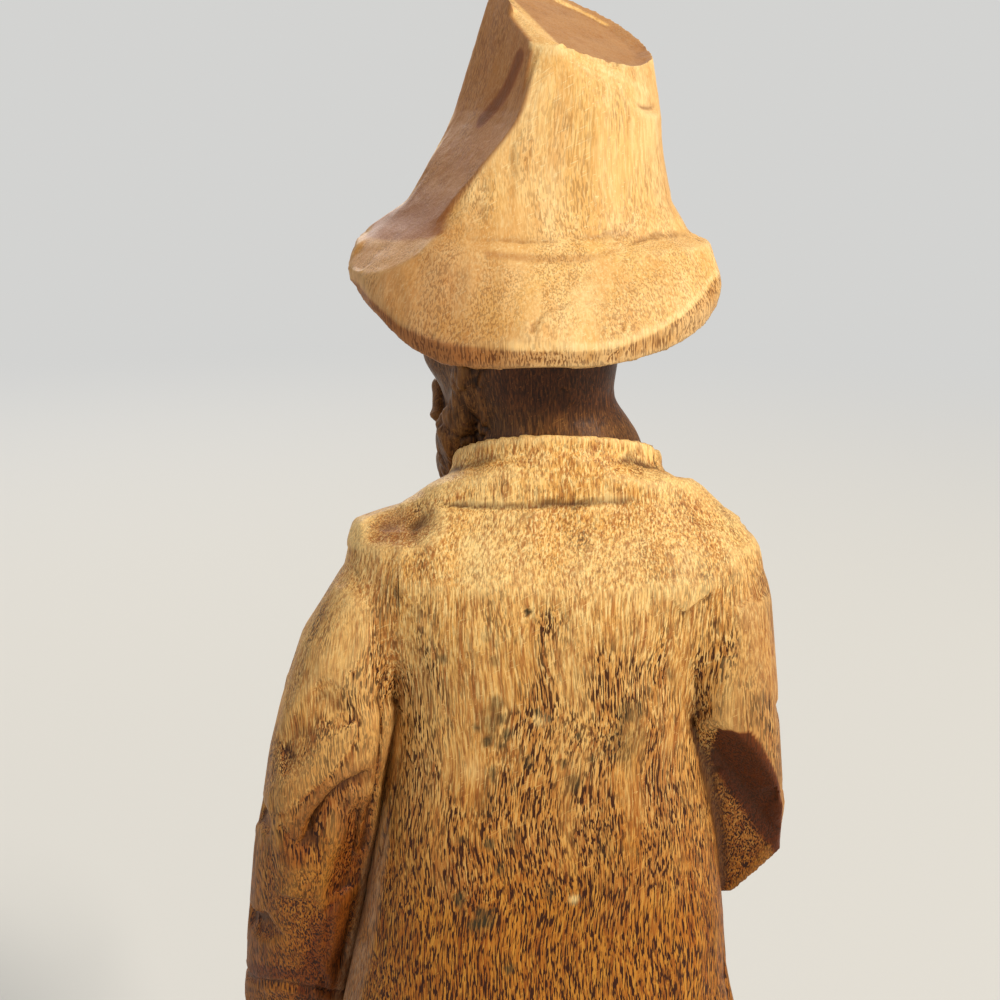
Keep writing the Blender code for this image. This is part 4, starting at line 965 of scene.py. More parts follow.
# %% [markdown]
# ## The hat
# The hat is the palest block and the most looked at. Its crown leans and is cut off at a slant, with
# a dished top and a bevel at the back; one long flat cut down its left side leaves a crisp ridge. The
# brim is thick, with upright end-grain dashes on its rim.

# %% Hat
hat = Block(blank("hat_blank", [node_copy("hat")], 0.52))
hat.sand(10)
CUT_FACING = np.array([math.cos(math.radians(30)), math.sin(math.radians(30)), 0])
CUT_HEIGHTS = (359, 364, 366, 371, 379, 384, 386.5, 389, 391.5, 394, 399, 403, 410, 416)
CUT_OFFSETS = (46, 33, 29.5, 26.1, 20.8, 17.2, 15.6, 14.3, 13.4, 12.7, 11.6, 10.6, 8.6, 6.8)


def above_cut(points):
    """How far a point stands out over the long flat cut, in mm."""
    uneven = 0.22 * lumps(points, 7, 76, (1, 1, 2.2))
    return points @ CUT_FACING + uneven - np.interp(points[:, 2], CUT_HEIGHTS, CUT_OFFSETS)


def flatten_cut(block):
    """Plane the cut's face; it runs out into the brim."""
    proud = np.clip(above_cut(block.points), 0, None) * ramp(block.points[:, 2], 365, 371)
    block.points -= CUT_FACING * proud[:, None]


flatten_cut(hat)
# The brim's corner below the cut rolls off towards the figure's left.
chop(hat, (32, 13, 362), (0.55, 0.37, 0.75), 13, 0.9)
fill_hollow(hat, (30, 12, 366), (15, 19, 11), 34)
hat.sand(40, where=round_spot(hat.points, (29, 13, 365), 10, 16, (1, 1.4, 1)))
# A facet beside the cut's ridge and the bevel round the near side of the crown's top.
for point, normal, reach in (((2.5, 11.5, 403.9), (0.097, 0.512, 0.853), 11),
                             ((-10.5, 15, 398), (-0.255, 0.925, 0.285), 11),
                             ((-17.5, 8.5, 397), (-0.85, 0.48, 0.2), 10)):
    chop(hat, point, normal, reach)
CROWN_FOOT = [(25, 20, 361.5), (12.2, 24.8, 362), (3.9, 26.2, 361.4), (-6.3, 25.6, 361.1), (-11.7, 23.5, 362),
              (-19, 18.5, 364), (-24, 12, 365.5), (-28, 4, 366), (-30, -6, 366)]
carve(hat, CROWN_FOOT, 1.6, 0.2, wide=4, taper=(0.3, 0.3))
BRIM_CREASE = [(8, 29, 357.6), (-2, 28.6, 358.8), (-11.5, 26.5, 358.8), (-21.3, 21, 360), (-28.3, 13.5, 361)]
carve(hat, BRIM_CREASE, 1.4, 0.2, wide=3, taper=(0.3, 0.3))
brim = ramp(-hat.points[:, 2], -366, -360)
hat.push(0.4 * lumps(hat.points, 15, 5) + 0.14 * lumps(hat.points, 5, 6) * brim)
knife_facets(hat, 8, 0.5, 54, stretch=1.8, where=ramp(-above_cut(hat.points), 1.0, 4.0))
hat.push(0.04 * lumps(hat.points, 1.3, 8))
flatten_cut(hat)
hat.sand(5, where=ramp(hat.points[:, 2], 392, 395))
hat.store()
# Beside the cut's ridge, where a painted shadow lies.
RIDGE_SHADOW_PATH = [(6.5, 12, 399), (9.2, 10.4, 392.5), (13.6, 7.4, 387.5)]
TOP_BAND = (395, 397)
# The lower edge of the crown's bevel, which gets a painted highlight.
BEVEL_EDGE = [(4.1, 15, 401.6), (1.4, 16.5, 400.1), (-3.5, 17, 400.5), (-8.4, 16.5, 398.6),
              (-13.4, 15, 394.9), (-18.5, 8, 392.6)]
TOP_LEFT_EDGE = (0.903, 0.428, 4.44)
RIM_ACROSS = (-33.2, -29.5, -25, -18.8, -12.9, -7.1, 2.3, 11.7, 21.3, 29.3, 35.2, 38.8)
RIM_TOP = (356.5, 353.1, 350.3, 347.5, 345.7, 345.2, 345.1, 345.5, 346.5, 348.6, 352.8, 355.5)


def under_rim(points):
    """How far a point of the brim lies under the rim's upper edge, in mm."""
    return np.interp(points[:, 0], RIM_ACROSS, RIM_TOP) - points[:, 2]


def rim_grain(block):
    """The rim's edge shows open end grain."""
    x, y, z = block.points.T
    outer = ramp(np.hypot((x - 2.6) / 38.6, (y - 0.5) / 35.6), 0.80, 0.86)
    return 0.8 * outer * ramp(under_rim(block.points), -0.5, 0.5)


def on_top(block):
    """The dished end of the crown, without the facet beside the cut."""
    x, y, z = block.points.T
    across_x, across_y, edge = TOP_LEFT_EDGE
    inside = 1 - ramp(x * across_x + y * across_y - edge, -0.6, 0.4)
    return inside * ramp(block.normals()[:, 2], 0.72, 0.80) * ramp(z, *TOP_BAND)


def hat_shade(block):
    """The flat cut faces away from the key light: it gets painted shade on top of the brown wax in its end
    grain. The end grain of the dished top and of the rim has taken more of the brown wax. Painted shade
    also darkens the brim below the cut, the crown's right side and the crease at its foot; a painted
    shadow lies beside the cut's ridge, and painted highlights run along the bevel and the rim's edge.
    """
    points = block.points
    # Painted shade on the flat cut, with some darker end grain.
    on_cut = ramp(above_cut(points), -1.2, -0.3) * (0.4 + 0.6 * ramp(points[:, 2], 362, 374))
    # Painted shade on the crown's right side, where the key light falls hardest.
    right_side_shade = 0.15 * (1 - ramp(points[:, 0], -26, -14)) * ramp(points[:, 2], 366, 370)
    # Painted shade on the brim below the cut.
    left_brim_shade = 0.5 * ramp(points @ CUT_FACING, 14, 34) * (1 - ramp(points[:, 2], 366, 376))
    # Painted shadow beside the cut's ridge and painted shade in the crease at the crown's foot.
    streak = 0.4 * along(points, RIDGE_SHADOW_PATH, 2.4) + 0.35 * along(points, CROWN_FOOT[1:5], 1.4)
    # Painted highlight along the rim's upper edge, on the key light's side.
    rim_highlight = 0.5 * (1 - ramp(np.abs(under_rim(points) + 0.9), 0.3, 1.0)) * (1 - ramp(points[:, 0], 0, 12))
    total = -0.72 * on_cut - 0.6 * on_top(block) * (1 - on_cut) - 0.4 * rim_grain(block)
    total = total - right_side_shade - left_brim_shade
    # Painted highlight along the bevel's lower edge.
    return total - streak + 0.55 * along(points, BEVEL_EDGE, 1.4) + rim_highlight * (points[:, 1] > 8)


# On the hat, the stain mark holds only the painted shadow beside the cut's ridge.
finish_piece(hat.made, "hat", "pale_wood", HAT, open_grain=rim_grain, shade=hat_shade,
             stain=lambda block: 0.2 * along(block.points, RIDGE_SHADOW_PATH, 1.6),
             dust=lambda block: 0.4 * on_top(block))

# %% [markdown]
# ## Trousers and base
# Both stand in the lower half, which the photograph doesn't show. The trousers are creased at the
# knees, patched and frayed at the hems. The base is hewn from a plank with flat chops.

# %% Trousers
trousers = Block(blank("trousers_blank", [node_copy("trousers")], 0.7))
trousers.sand(6)
fold_rng = np.random.default_rng(21)
LEG_FOLDS = ((140, 1.0), (126, 1.3), (115, 1.9), (106, 1.7), (93, 1.0), (78, 1.2), (66, 1.8), (58, 1.5))
for side in (1, -1):
    leg = side * 19.2
    for level, depth in LEG_FOLDS:
        start = fold_rng.uniform(0, 2 * math.pi)
        span = fold_rng.uniform(1.3, 2.6)
        tilt = fold_rng.uniform(-9, 9)
        for turn in (0, math.pi * 0.9):
            path = []
            for t in np.linspace(0, 1, 6):
                angle = start + turn + span * t
                path.append((leg + 15 * math.cos(angle), -3.5 + 16 * math.sin(angle),
                             level + tilt * (t - 0.5) + 3 * math.sin(math.pi * t)))
            carve(trousers, path, 1.6, depth, wide=6.5, taper=(0.4, 0.4))
            level += fold_rng.uniform(-4, 4)
            depth *= 0.8
    ragged_edge(trousers, 50, 2.2, (leg - side * 0.2, -3), (14.6, 15.6), 44 + side)
carve(trousers, [(0, -22, 158), (0, -19, 146), (0, -14, 138)], 2.5, 1.5, taper=(0, 0.2))
sewn_patch(trousers, (20, -21, 108), (0.995, 0, 0.05), (-0.05, 0.05, 0.995), 7.5, 8)
trousers.push(0.3 * lumps(trousers.points, 11, 9) + 0.12 * lumps(trousers.points, 4, 10))
knife_facets(trousers, 5.5, 0.6, 55)
finish_piece(trousers.made, "trousers", "trouser_wood", TROUSERS)

# %% Base
base = Block(blank("base_blank", [node_copy("base")], 0.9))
base.sand(4)
rng = np.random.default_rng(7)
top = ramp(base.points[:, 2], 17, 20)
base.push(0.5 * lumps(base.points, 16, 11) * top + 0.5 * lumps(base.points, 12, 12) * (1 - top))
knife_facets(base, 9, 0.9, 56, stretch=1.0, where=ramp(base.points[:, 2], 1.5, 4))
for _ in range(60):
    x, y = rng.uniform(-64, 74), rng.uniform(-60, 40)
    turn = rng.normal(0.2, 0.5)
    length = rng.uniform(7, 13)
    ends = [(x, y, 22), (x + length * math.cos(turn), y + length * math.sin(turn), 22)]
    on_feet = min(abs(x - 19), abs(x + 19)) < 14 and -48 < y < 14
    if not on_feet:
        carve(base, ends, rng.uniform(2.2, 3.6), rng.uniform(0.4, 0.8), gouge=True, taper=(0.5, 0.5))
base.points[:, 2] = np.maximum(base.points[:, 2], 0)
base.store()
finish_piece(base.made, "base", "base_wood", BASE)

# %% [markdown]
# ## Forms from distance fields
# A head, a hand and a foot are made of many round forms that flow into one another. They are built
# as a distance field: each form gives the distance to its surface, a soft minimum blends two of them
# as a carver would round the corner between them, and the zero surface is then meshed.

# %% Distance forms on a grid
def ball_distance(steps, radii):
    """Distance to a ball, or about that to one with three radii, from the steps to its middle."""
    radii = (radii,) * 3 if isinstance(radii, (int, float)) else radii
    near = np.sqrt(sum((step / r) ** 2 for step, r in zip(steps, radii)))
    far = np.sqrt(sum((step / r ** 2) ** 2 for step, r in zip(steps, radii))) + 1e-6
    return near * (near - 1) / far


class Clay:
    """A field of distances in mm on an even grid, meshed as small squares."""

    def __init__(self, low, high, grain):
        self.low, self.grain = np.array(low, float), grain
        counts = [int((b - a) / grain) + 1 for a, b in zip(low, high)]
        axes = [np.float32(a + grain * np.arange(n)) for a, n in zip(low, counts)]
        self.x, self.y, self.z = np.meshgrid(*axes, indexing="ij", sparse=True)
        self.field = np.full(counts, 9.0, np.float32)

    def ball(self, middle, radii):
        return ball_distance([axis - m for axis, m in zip((self.x, self.y, self.z), middle)], radii)

    def limb(self, start, end, start_radius, end_radius):
        start, step = np.array(start, float), np.array(end, float) - np.array(start, float)
        away = [axis - s for axis, s in zip((self.x, self.y, self.z), start)]
        share = np.clip(sum(a * s for a, s in zip(away, step)) / (step @ step), 0, 1)
        square = sum((a - share * s) ** 2 for a, s in zip(away, step))
        return np.sqrt(square) - (start_radius + share * (end_radius - start_radius))

    def chain(self, points, radii, soft=1.0):
        """Limbs end to end."""
        total = self.limb(points[0], points[1], radii[0], radii[1])
        for k in range(1, len(points) - 1):
            total = soft_min(total, self.limb(points[k], points[k + 1], radii[k], radii[k + 1]), soft)
        return total

    def add(self, form, soft=1.0):
        self.field = soft_min(self.field, form, soft)

    def cut(self, form, soft=0.5):
        self.field = -soft_min(-self.field, form, soft)

    def mesh(self, name):
        """Mesh the zero surface: one point in each cell that it crosses, and a face per crossed edge."""
        field = self.field
        inside = field < 0
        shape = [n - 1 for n in field.shape]
        total = np.zeros(shape + [3], np.float32)
        hits = np.zeros(shape, np.float32)
        for axis in range(3):
            others = [k for k in range(3) if k != axis]
            first = [slice(None)] * 3
            second = [slice(None)] * 3
            first[axis], second[axis] = slice(0, -1), slice(1, None)
            a, b = field[tuple(first)], field[tuple(second)]
            crossed = (a < 0) != (b < 0)
            share = np.where(crossed, a / np.where(crossed, a - b, 1), 0)
            for corner in itertools.product((0, 1), repeat=2):
                window = [slice(None)] * 3
                for k, shift in zip(others, corner):
                    window[k] = slice(shift, shift + shape[k])
                hit = crossed[tuple(window)]
                hits += hit
                total[..., axis] += np.where(hit, share[tuple(window)], 0)
                for k, shift in zip(others, corner):
                    total[..., k] += hit * np.float32(shift)
        active = hits > 0
        index = np.full(shape, -1, np.int64)
        index[active] = np.arange(active.sum())
        cells = np.argwhere(active)
        points = self.low + (cells + total[active] / hits[active][:, None]) * self.grain
        faces = []
        for axis in range(3):
            u, v = [(axis + 1) % 3, (axis + 2) % 3]
            first = [slice(1, -1)] * 3
            second = [slice(1, -1)] * 3
            first[axis], second[axis] = slice(0, -1), slice(1, None)
            a, b = inside[tuple(first)], inside[tuple(second)]
            for wanted, flip in ((a & ~b, False), (~a & b, True)):
                at = np.argwhere(wanted)
                offset = np.ones(3, int)
                offset[axis] = 0
                at = at + offset
                corners = []
                for du, dv in ((0, 0), (-1, 0), (-1, -1), (0, -1)):
                    spot = at.copy()
                    spot[:, u] += du
                    spot[:, v] += dv
                    corners.append(index[tuple(spot.T)])
                quad = np.stack(corners, 1)
                faces.append(quad[:, ::-1] if flip else quad)
        faces = np.concatenate(faces)
        mesh = bpy.data.meshes.new(name)
        mesh.from_pydata((points * MM).tolist(), [], faces.tolist())
        mesh.update()
        print(name, "meshed with", len(faces), "squares")
        return new_object(name, mesh)


def soft_min(a, b, soft):
    if soft <= 0:
        return np.minimum(a, b)
    share = np.clip(soft - np.abs(a - b), 0, None) / soft
    return np.minimum(a, b) - share * share * soft / 4


# %% [markdown]
# ## The head
# The head is turned to the figure's left. Its face is a plain calm one of the carver's stock, set
# out by the old rule of thirds: brow, foot of the nose and chin lie at equal steps, and the eyes
# halfway up the head. Below the hat it has short hair, ears and a full beard.

# %% Head
TURN = math.radians(45)
FORWARD = np.array([math.sin(TURN), -math.cos(TURN), 0])
SIDEWAYS = np.array([math.cos(TURN), math.sin(TURN), 0])
NECK = np.array([0, -2, 0])


def face_point(forward, side, height):
    return tuple(NECK + FORWARD * forward + SIDEWAYS * side + np.array([0, 0, height]))


class TurnedClay(Clay):
    """Clay whose balls are squeezed along the head's own directions."""

    def ball(self, middle, radii):
        x, y = self.x - NECK[0], self.y - NECK[1]
        forward = x * np.float32(FORWARD[0]) + y * np.float32(FORWARD[1]) - middle[0]
        side = x * np.float32(SIDEWAYS[0]) + y * np.float32(SIDEWAYS[1]) - middle[1]
        return ball_distance((forward, side, self.z - middle[2]), radii)


clay = TurnedClay((-24, -33, 286), (33, 22, 357.5), 0.42)
clay.add(clay.ball((5.4, 0, 345), (22.0, 17.6, 24)), 0)
clay.add(clay.ball((12.5, 0, 333), (14.5, 13.5, 17)), 6)
clay.add(clay.ball((17.5, 0, 321.5), (9.5, 8.5, 6)), 5)
collar_flare = Clay.ball(clay, (-4.2, -1.8, 312), (18.2, 12.2, 17))
neck = clay.chain([(-2.2, -1.8, 289), (-2.2, -1.8, 318), (0, -1.8, 334), (1.5, -2.5, 344)],
                  (13.4, 13.2, 13.2, 14), 3)
clay.add(neck, 4)
clay.add(collar_flare, 7)
for side in (1, -1):
    clay.add(clay.ball((21, side * 9.5, 338), (5.5, 4.5, 4.8)), 5)
clay.add(clay.limb(face_point(24.6, -9, 347.2), face_point(24.6, 9, 347.2), 2.5, 2.5), 3.5)
for side in (1, -1):
    clay.cut(clay.ball((28.6, side * 6.8, 343.0), (4.6, 5.0, 3.1)), 2.0)
    clay.add(clay.ball((23.4, side * 6.8, 342.6), 3.7), 0.5)
    lid = clay.ball((23.6, side * 6.8, 342.9), (4.2, 4.4, 4.1))
    lid = np.maximum(lid, 343.4 - clay.z)
    clay.add(lid, 0.4)
    lower = clay.ball((23.5, side * 6.8, 342.4), (4.1, 4.3, 4.0))
    lower = np.maximum(lower, clay.z - 340.9)
    clay.add(lower, 0.4)
clay.add(clay.limb(face_point(26.4, 0, 346.5), face_point(30.6, 0, 336.4), 1.7, 2.2), 2.2)
clay.add(clay.ball((31.0, 0, 335.2), (2.9, 2.6, 2.5)), 1.5)
for side in (1, -1):
    clay.add(clay.ball((28.9, side * 2.7, 334.4), (2.4, 1.7, 1.8)), 1.2)
    clay.cut(clay.ball((30.6, side * 1.3, 332.6), (1.0, 0.8, 0.8)), 0.5)
    clay.add(clay.chain([face_point(28.6, side * 1.2, 331.0), face_point(27.4, side * 5.5, 328.8),
                         face_point(24.0, side * 9.2, 323.0)], (1.7, 1.9, 1.6), 1.0), 0.8)
    # Sideburn and the side of the beard.
    clay.add(clay.chain([face_point(6, side * 16.2, 345), face_point(8.5, side * 15.2, 334),
                         face_point(15, side * 10.5, 320), face_point(21, side * 5, 308)],
                        (1.8, 2.6, 5.0, 4.6), 2.0), 1.6)
    clay.add(clay.ball((2.8, side * 17.6, 342), (3.2, 1.7, 5.2)), 0.8)
    clay.cut(clay.ball((3.4, side * 19.4, 342.6), (1.7, 1.2, 3.0)), 0.6)
clay.add(clay.chain([face_point(22.5, 0, 322), face_point(24.5, 0, 311), face_point(25.5, 0, 300)],
                    (6.6, 5.8, 3.0), 3), 2.0)
clay.add(clay.limb(face_point(28.0, -2.6, 326.9), face_point(28.0, 2.6, 326.9), 1.15, 1.15), 0.8)
clay.cut(clay.limb(face_point(29.6, -4.2, 328.3), face_point(29.6, 4.2, 328.3), 0.55, 0.55), 0.6)
clay.field = np.maximum(clay.field, clay.z - 356)
clay.field = np.maximum(clay.field, 288 - clay.z)
head = Block(clay.mesh("head_blank"))
head.sand(3)


def head_frame(points):
    away = points - NECK
    return away @ FORWARD, away @ SIDEWAYS, points[:, 2]


def beard_share(points):
    """Where hair covers the face: the jaw, the chin and beside the ears."""
    forward, side, height = head_frame(points)
    cheek_line = 331 - 0.010 * (forward - 6) ** 2
    beard = ramp(forward, 4, 8) * (1 - ramp(height, cheek_line - 5, cheek_line - 2))
    sideburn = ramp(forward, 2.5, 5) * (1 - ramp(forward, 10, 12.5)) * ramp(np.abs(side), 11, 13)
    return np.maximum(beard, sideburn)


hairy = beard_share(head.points)
forward, side, height = head_frame(head.points)
angle = np.arctan2(side, forward - 6)
strand_points = np.stack([angle * 16, height * 0.15 + 2 * np.sin(height * 0.35), height * 0], 1)
locks = np.abs(lumps(strand_points, 2.6, 81)) + 0.5 * np.abs(lumps(strand_points, 1.3, 82))
waves = lumps(head.points, 4.0, 83, (1, 1, 1.6))
head.push(hairy * (0.5 - 1.5 * (0.55 - locks) + 0.4 * waves))
back_hair = (1 - ramp(forward, 2, 4)) * ramp(height, 336, 341)
head.push(back_hair * 0.35 * (locks - 0.4))
head.push(0.12 * lumps(head.points, 6, 84) * (1 - hairy))
knife_facets(head, 4.5, 0.35, 57, where=1 - 0.7 * ramp(forward, 18, 22))


def head_shade(block):
    """Painted shadow on the nape under the brim, and a painted highlight in a band above the collar."""
    forward, side, height = head_frame(block.points)
    nape = 1 - ramp(forward, -2, 6)
    # A painted highlight in a band above the collar.
    worn_and_lit = ramp(height, 315, 319) * (1 - ramp(height, 322, 327)) * (0.7 + 0.5 * lumps(block.points, 4, 85))
    # Painted shadow on the nape under the brim.
    return nape * (0.55 * worn_and_lit - 0.6 * ramp(height, 324, 331))


finish_piece(head.made, "head", "stained_wood", STAINED, shade=head_shade)

# %% [markdown]
# ## Hands, feet and cane
# The left fist closes round the cane with the back of the hand outwards, and a hole with a little
# room lets the cane slide. The right palm is held out flat and slightly cupped.

# %% Left fist
CANE_FOOT = np.array([66, -46, 16.0])
GRIP = np.array([62, -38, 160.0])
CANE_AXIS = unit(GRIP - CANE_FOOT)
BACK_OF_HAND = unit(np.array([1.0, 0, 0]) - CANE_AXIS * CANE_AXIS[0])
TO_WRIST = np.cross(CANE_AXIS, BACK_OF_HAND)
LEFT_CUFF = np.array([60.8, -18, 174.0])
LEFT_INWARD = unit(np.array([58.8, -13, 187.0]) - LEFT_CUFF)


def grip_point(out, back, up):
    return GRIP + BACK_OF_HAND * out + TO_WRIST * back + CANE_AXIS * up


fist = Clay((48, -52, 143), (76, -8, 186), 0.38)
fist.add(fist.chain([LEFT_CUFF + LEFT_INWARD * 4.5, LEFT_CUFF - LEFT_INWARD * 4, grip_point(0.5, 9, 3.5)],
                    (6.6, 6.5, 6.0), 2), 0)
for up in (6.0, 2.0, -2.0, -6.0):
    fist.add(fist.limb(grip_point(1.5, 10, up * 0.55 + 3), grip_point(6.0, 3.2, up), 4.0, 2.7), 1.6)
fist.add(fist.ball(tuple(grip_point(-3.6, 5.5, 3.5)), (3.6, 5.2, 6.0)), 2.0)
fist.add(fist.ball(tuple(grip_point(-3.0, 5.0, -4.0)), (3.4, 4.4, 4.5)), 2.0)
for number, up in enumerate((6.9, 2.35, -2.3, -6.8)):
    size = (2.45, 2.55, 2.45, 2.2)[number]
    fist.add(fist.chain([grip_point(6.6, 3.4, up), grip_point(6.9, -1.8, up), grip_point(3.6, -6.0, up),
                         grip_point(-1.6, -6.5, up + 0.2), grip_point(-5.6, -3.2, up + 0.3),
                         grip_point(-5.2, 0.5, up + 0.4)],
                        (size * 1.02, size, size * 1.04, size * 0.95, size * 0.95, size * 0.85), 0.8), 0.45)
fist.add(fist.chain([grip_point(-4.5, 7, 7), grip_point(-7.2, 0.8, 9.8), grip_point(-4.2, -5.6, 10.6)],
                    (3.4, 2.75, 2.2), 1.0), 0.6)
from_grip = [(axis - g) for axis, g in zip((fist.x, fist.y, fist.z), GRIP)]
up = sum(a * c for a, c in zip(from_grip, CANE_AXIS))
radial = np.sqrt(np.clip(sum(a ** 2 for a in from_grip) - up ** 2, 0, None))
fist.field = np.maximum(fist.field, 3.1 - radial)
left_hand = Block(fist.mesh("left_hand_blank"))
left_hand.sand(2)
off_axis = left_hand.points - GRIP
off_axis = off_axis - np.outer(off_axis @ CANE_AXIS, CANE_AXIS)
clear = ramp(np.linalg.norm(off_axis, axis=1), 3.3, 4.2)
knife_facets(left_hand, 2.6, 0.4, 58, stretch=1.0, where=clear)
finish_piece(left_hand.made, "left_hand", "stained_wood", STAINED)

# %% Right palm
RIGHT_CUFF = np.array([-38, -50, 241.5])
RIGHT_INWARD = unit(np.array([-40.5, -38, 236.0]) - RIGHT_CUFF)
PALM_END = np.array([-33.2, -72, 245.2])
palm = Clay((-54, -95, 228), (-20, -42, 256), 0.36)
palm.add(palm.chain([RIGHT_CUFF + RIGHT_INWARD * 4.5, RIGHT_CUFF - RIGHT_INWARD * 3, (-36.9, -57, 242.9)],
                    (6.5, 6.2, 5.2), 1.5), 0)
FINGERS = [(-6.6, 13.5, 3.5, 2.2), (-2.2, 15.5, 3.2, 2.35), (2.2, 15, 3.4, 2.3), (6.4, 12, 4.2, 2.0)]
for side, length, lift, size in FINGERS:
    root = PALM_END + np.array([side, 2.5, 0.4])
    palm.add(palm.limb((-37 + side * 0.45, -56, 242.4), tuple(root), 4.2, size * 1.45), 2.0)
    joints = [root, root + np.array([0.06 * side, -0.45 * length - 1, 0.1 * lift]),
              root + np.array([0.1 * side, -0.75 * length - 1.5, 0.55 * lift]),
              root + np.array([0.1 * side, -length - 2, 1.35 * lift])]
    palm.add(palm.chain(joints, (size * 1.1, size, size * 0.95, size * 0.8), 0.6), 0.6)
palm.add(palm.ball((-40.8, -60.5, 244.4), (4.0, 7.0, 3.4)), 1.5)
palm.add(palm.ball((-29.8, -62, 245.0), (3.2, 7.5, 3.2)), 1.5)
palm.add(palm.chain([(-41.5, -58, 244), (-45.3, -65, 246.5), (-46.0, -72, 249)], (3.4, 2.7, 2.1), 1.0), 1.2)
palm.cut(palm.ball((-34.6, -64.5, 251.2), (5.6, 8.0, 4.8)), 2.0)
right_hand = Block(palm.mesh("right_hand_blank"))
right_hand.sand(2)
knife_facets(right_hand, 2.6, 0.4, 59, stretch=1.0)
finish_piece(right_hand.made, "right_hand", "stained_wood", STAINED)

# %% Bare feet
FOOT_TURN = math.radians(12)
SOLE = 22.3
for side, name in ((1, "left_foot"), (-1, "right_foot")):
    turn = np.array([[math.cos(side * FOOT_TURN), -math.sin(side * FOOT_TURN)],
                     [math.sin(side * FOOT_TURN), math.cos(side * FOOT_TURN)]])

    def foot_point(ahead, outward, height):
        x, y = turn @ np.array([side * outward, -ahead])
        return np.array([side * 19 + x, -3 + y, height])

    foot = Clay((side * 19 - 22, -52, 20), (side * 19 + 22, 14, 60), 0.42)
    foot.add(foot.limb(foot_point(0, 0, 62), foot_point(0, 0, 36), 7.4, 7.0), 0)
    foot.add(foot.ball(tuple(foot_point(-4.5, 0, 29.5)), (7.2, 7.6, 7.6)), 4)
    foot.add(foot.chain([foot_point(1, 0, 37), foot_point(13, -0.5, 31.5), foot_point(27, 0, 26.2)],
                        (6.8, 6.2, 4.4), 3), 3)
    foot.add(foot.chain([foot_point(-4, 2, 27), foot_point(14, 4.2, 25.5), foot_point(27, 5.2, 25)],
                        (5, 4, 3.6), 3), 3)
    foot.add(foot.chain([foot_point(14, -3.5, 27.5), foot_point(28, -5.4, 26.2)], (4.6, 4.4), 2), 3)
    for outward in (-7.4, 7.2):
        foot.add(foot.ball(tuple(foot_point(0, outward, 42)), 2.4), 2)
    TOES = [(-6.3, 39.2, 3.3, 26.0), (-1.4, 39.8, 2.3, 25.0), (2.2, 38.0, 2.2, 24.8), (5.5, 35.2, 2.1, 24.6),
            (8.3, 31.6, 2.0, 24.4)]
    for outward, reach, size, height in TOES:
        toe = foot.chain([foot_point(reach - 12, outward * 0.9, height + 1),
                          foot_point(reach - 5, outward, height + 0.8),
                          foot_point(reach, outward, height - 0.2)], (size, size * 0.92, size), 0.8)
        foot.add(toe, 0.7)
    foot.field = np.maximum(foot.field, SOLE - foot.z)
    foot.field = np.maximum(foot.field, foot.z - 57.8)
    made = Block(foot.mesh(name + "_blank"))
    made.sand(2)
    knife_facets(made, 3.4, 0.4, 60 + side, stretch=1.0, where=ramp(made.points[:, 2], SOLE + 1, SOLE + 2.5))
    finish_piece(made.made, name, "stained_wood", STAINED)

# %% [markdown]
# ## The cane
# The cane is a straight stick, whittled to narrow flats, with a few cut-back knots and a rounded
# head. Its shape follows a line, so Geometry Nodes make it: a line is resampled, given a radius
# that changes along it, and swept with a round profile of sixteen sides.

# %% Cane by Geometry Nodes
CANE_LENGTH = 168.0
SHAFT_RADIUS = 2.62


def node_socket(group, name, kind, default):
    socket = group.interface.new_socket(name, in_out="INPUT", socket_type=kind)
    socket.default_value = default
    return socket.identifier


cane_tree = bpy.data.node_groups.new("whittled_stick", "GeometryNodeTree")
cane_tree.interface.new_socket("Geometry", in_out="OUTPUT", socket_type="NodeSocketGeometry")
start_id = node_socket(cane_tree, "Start", "NodeSocketVector", (0, 0, 0))
end_id = node_socket(cane_tree, "End", "NodeSocketVector", (0, 0, 1))
radius_id = node_socket(cane_tree, "Shaft Radius", "NodeSocketFloat", 0.0026)
wood_id = cane_tree.interface.new_socket("Wood", in_out="INPUT", socket_type="NodeSocketMaterial").identifier
outside = add(cane_tree, "NodeGroupInput").outputs
line = add(cane_tree, "GeometryNodeCurvePrimitiveLine", {},
           {"Start": outside["Start"], "End": outside["End"]})
fine = add(cane_tree, "GeometryNodeResampleCurve", {"Count": 150}, {"Curve": line.outputs[0]})
share = add(cane_tree, "GeometryNodeSplineParameter").outputs["Factor"]
profile = add(cane_tree, "ShaderNodeFloatCurve", {}, {"Value": share})
knots = profile.mapping.curves[0].points
SHAPE = [(0.0, 0.0), (0.004, 0.36), (0.04, 0.47), (0.18, 0.50), (0.205, 0.53), (0.23, 0.49), (0.45, 0.50),
         (0.47, 0.535), (0.495, 0.49), (0.68, 0.51), (0.70, 0.54), (0.725, 0.50), (0.90, 0.52), (0.945, 0.56),
         (0.965, 0.80), (0.983, 0.84), (0.996, 0.5)]
for x, y in SHAPE:
    knots.new(x, y)
knots[len(knots) - 1].location = (1.0, 0.0)
profile.mapping.update()
thick = add(cane_tree, "ShaderNodeMath", {"operation": "MULTIPLY"},
            {0: profile.outputs[0], 1: outside["Shaft Radius"]})
thick = add(cane_tree, "ShaderNodeMath", {"operation": "MULTIPLY", 1: 2.0}, {0: thick.outputs[0]})
ring = add(cane_tree, "GeometryNodeCurvePrimitiveCircle", {"Resolution": 16, "Radius": 1.0})
swept = add(cane_tree, "GeometryNodeCurveToMesh", {"Fill Caps": True},
            {"Curve": fine.outputs[0], "Profile Curve": ring.outputs[0], "Scale": thick.outputs[0]})
real = add(cane_tree, "GeometryNodeRealizeInstances", {}, {0: swept.outputs[0]})
woody = add(cane_tree, "GeometryNodeSetMaterial", {},
            {"Geometry": real.outputs[0], "Material": outside["Wood"]})
add(cane_tree, "NodeGroupOutput", {}, {0: woody.outputs[0]})

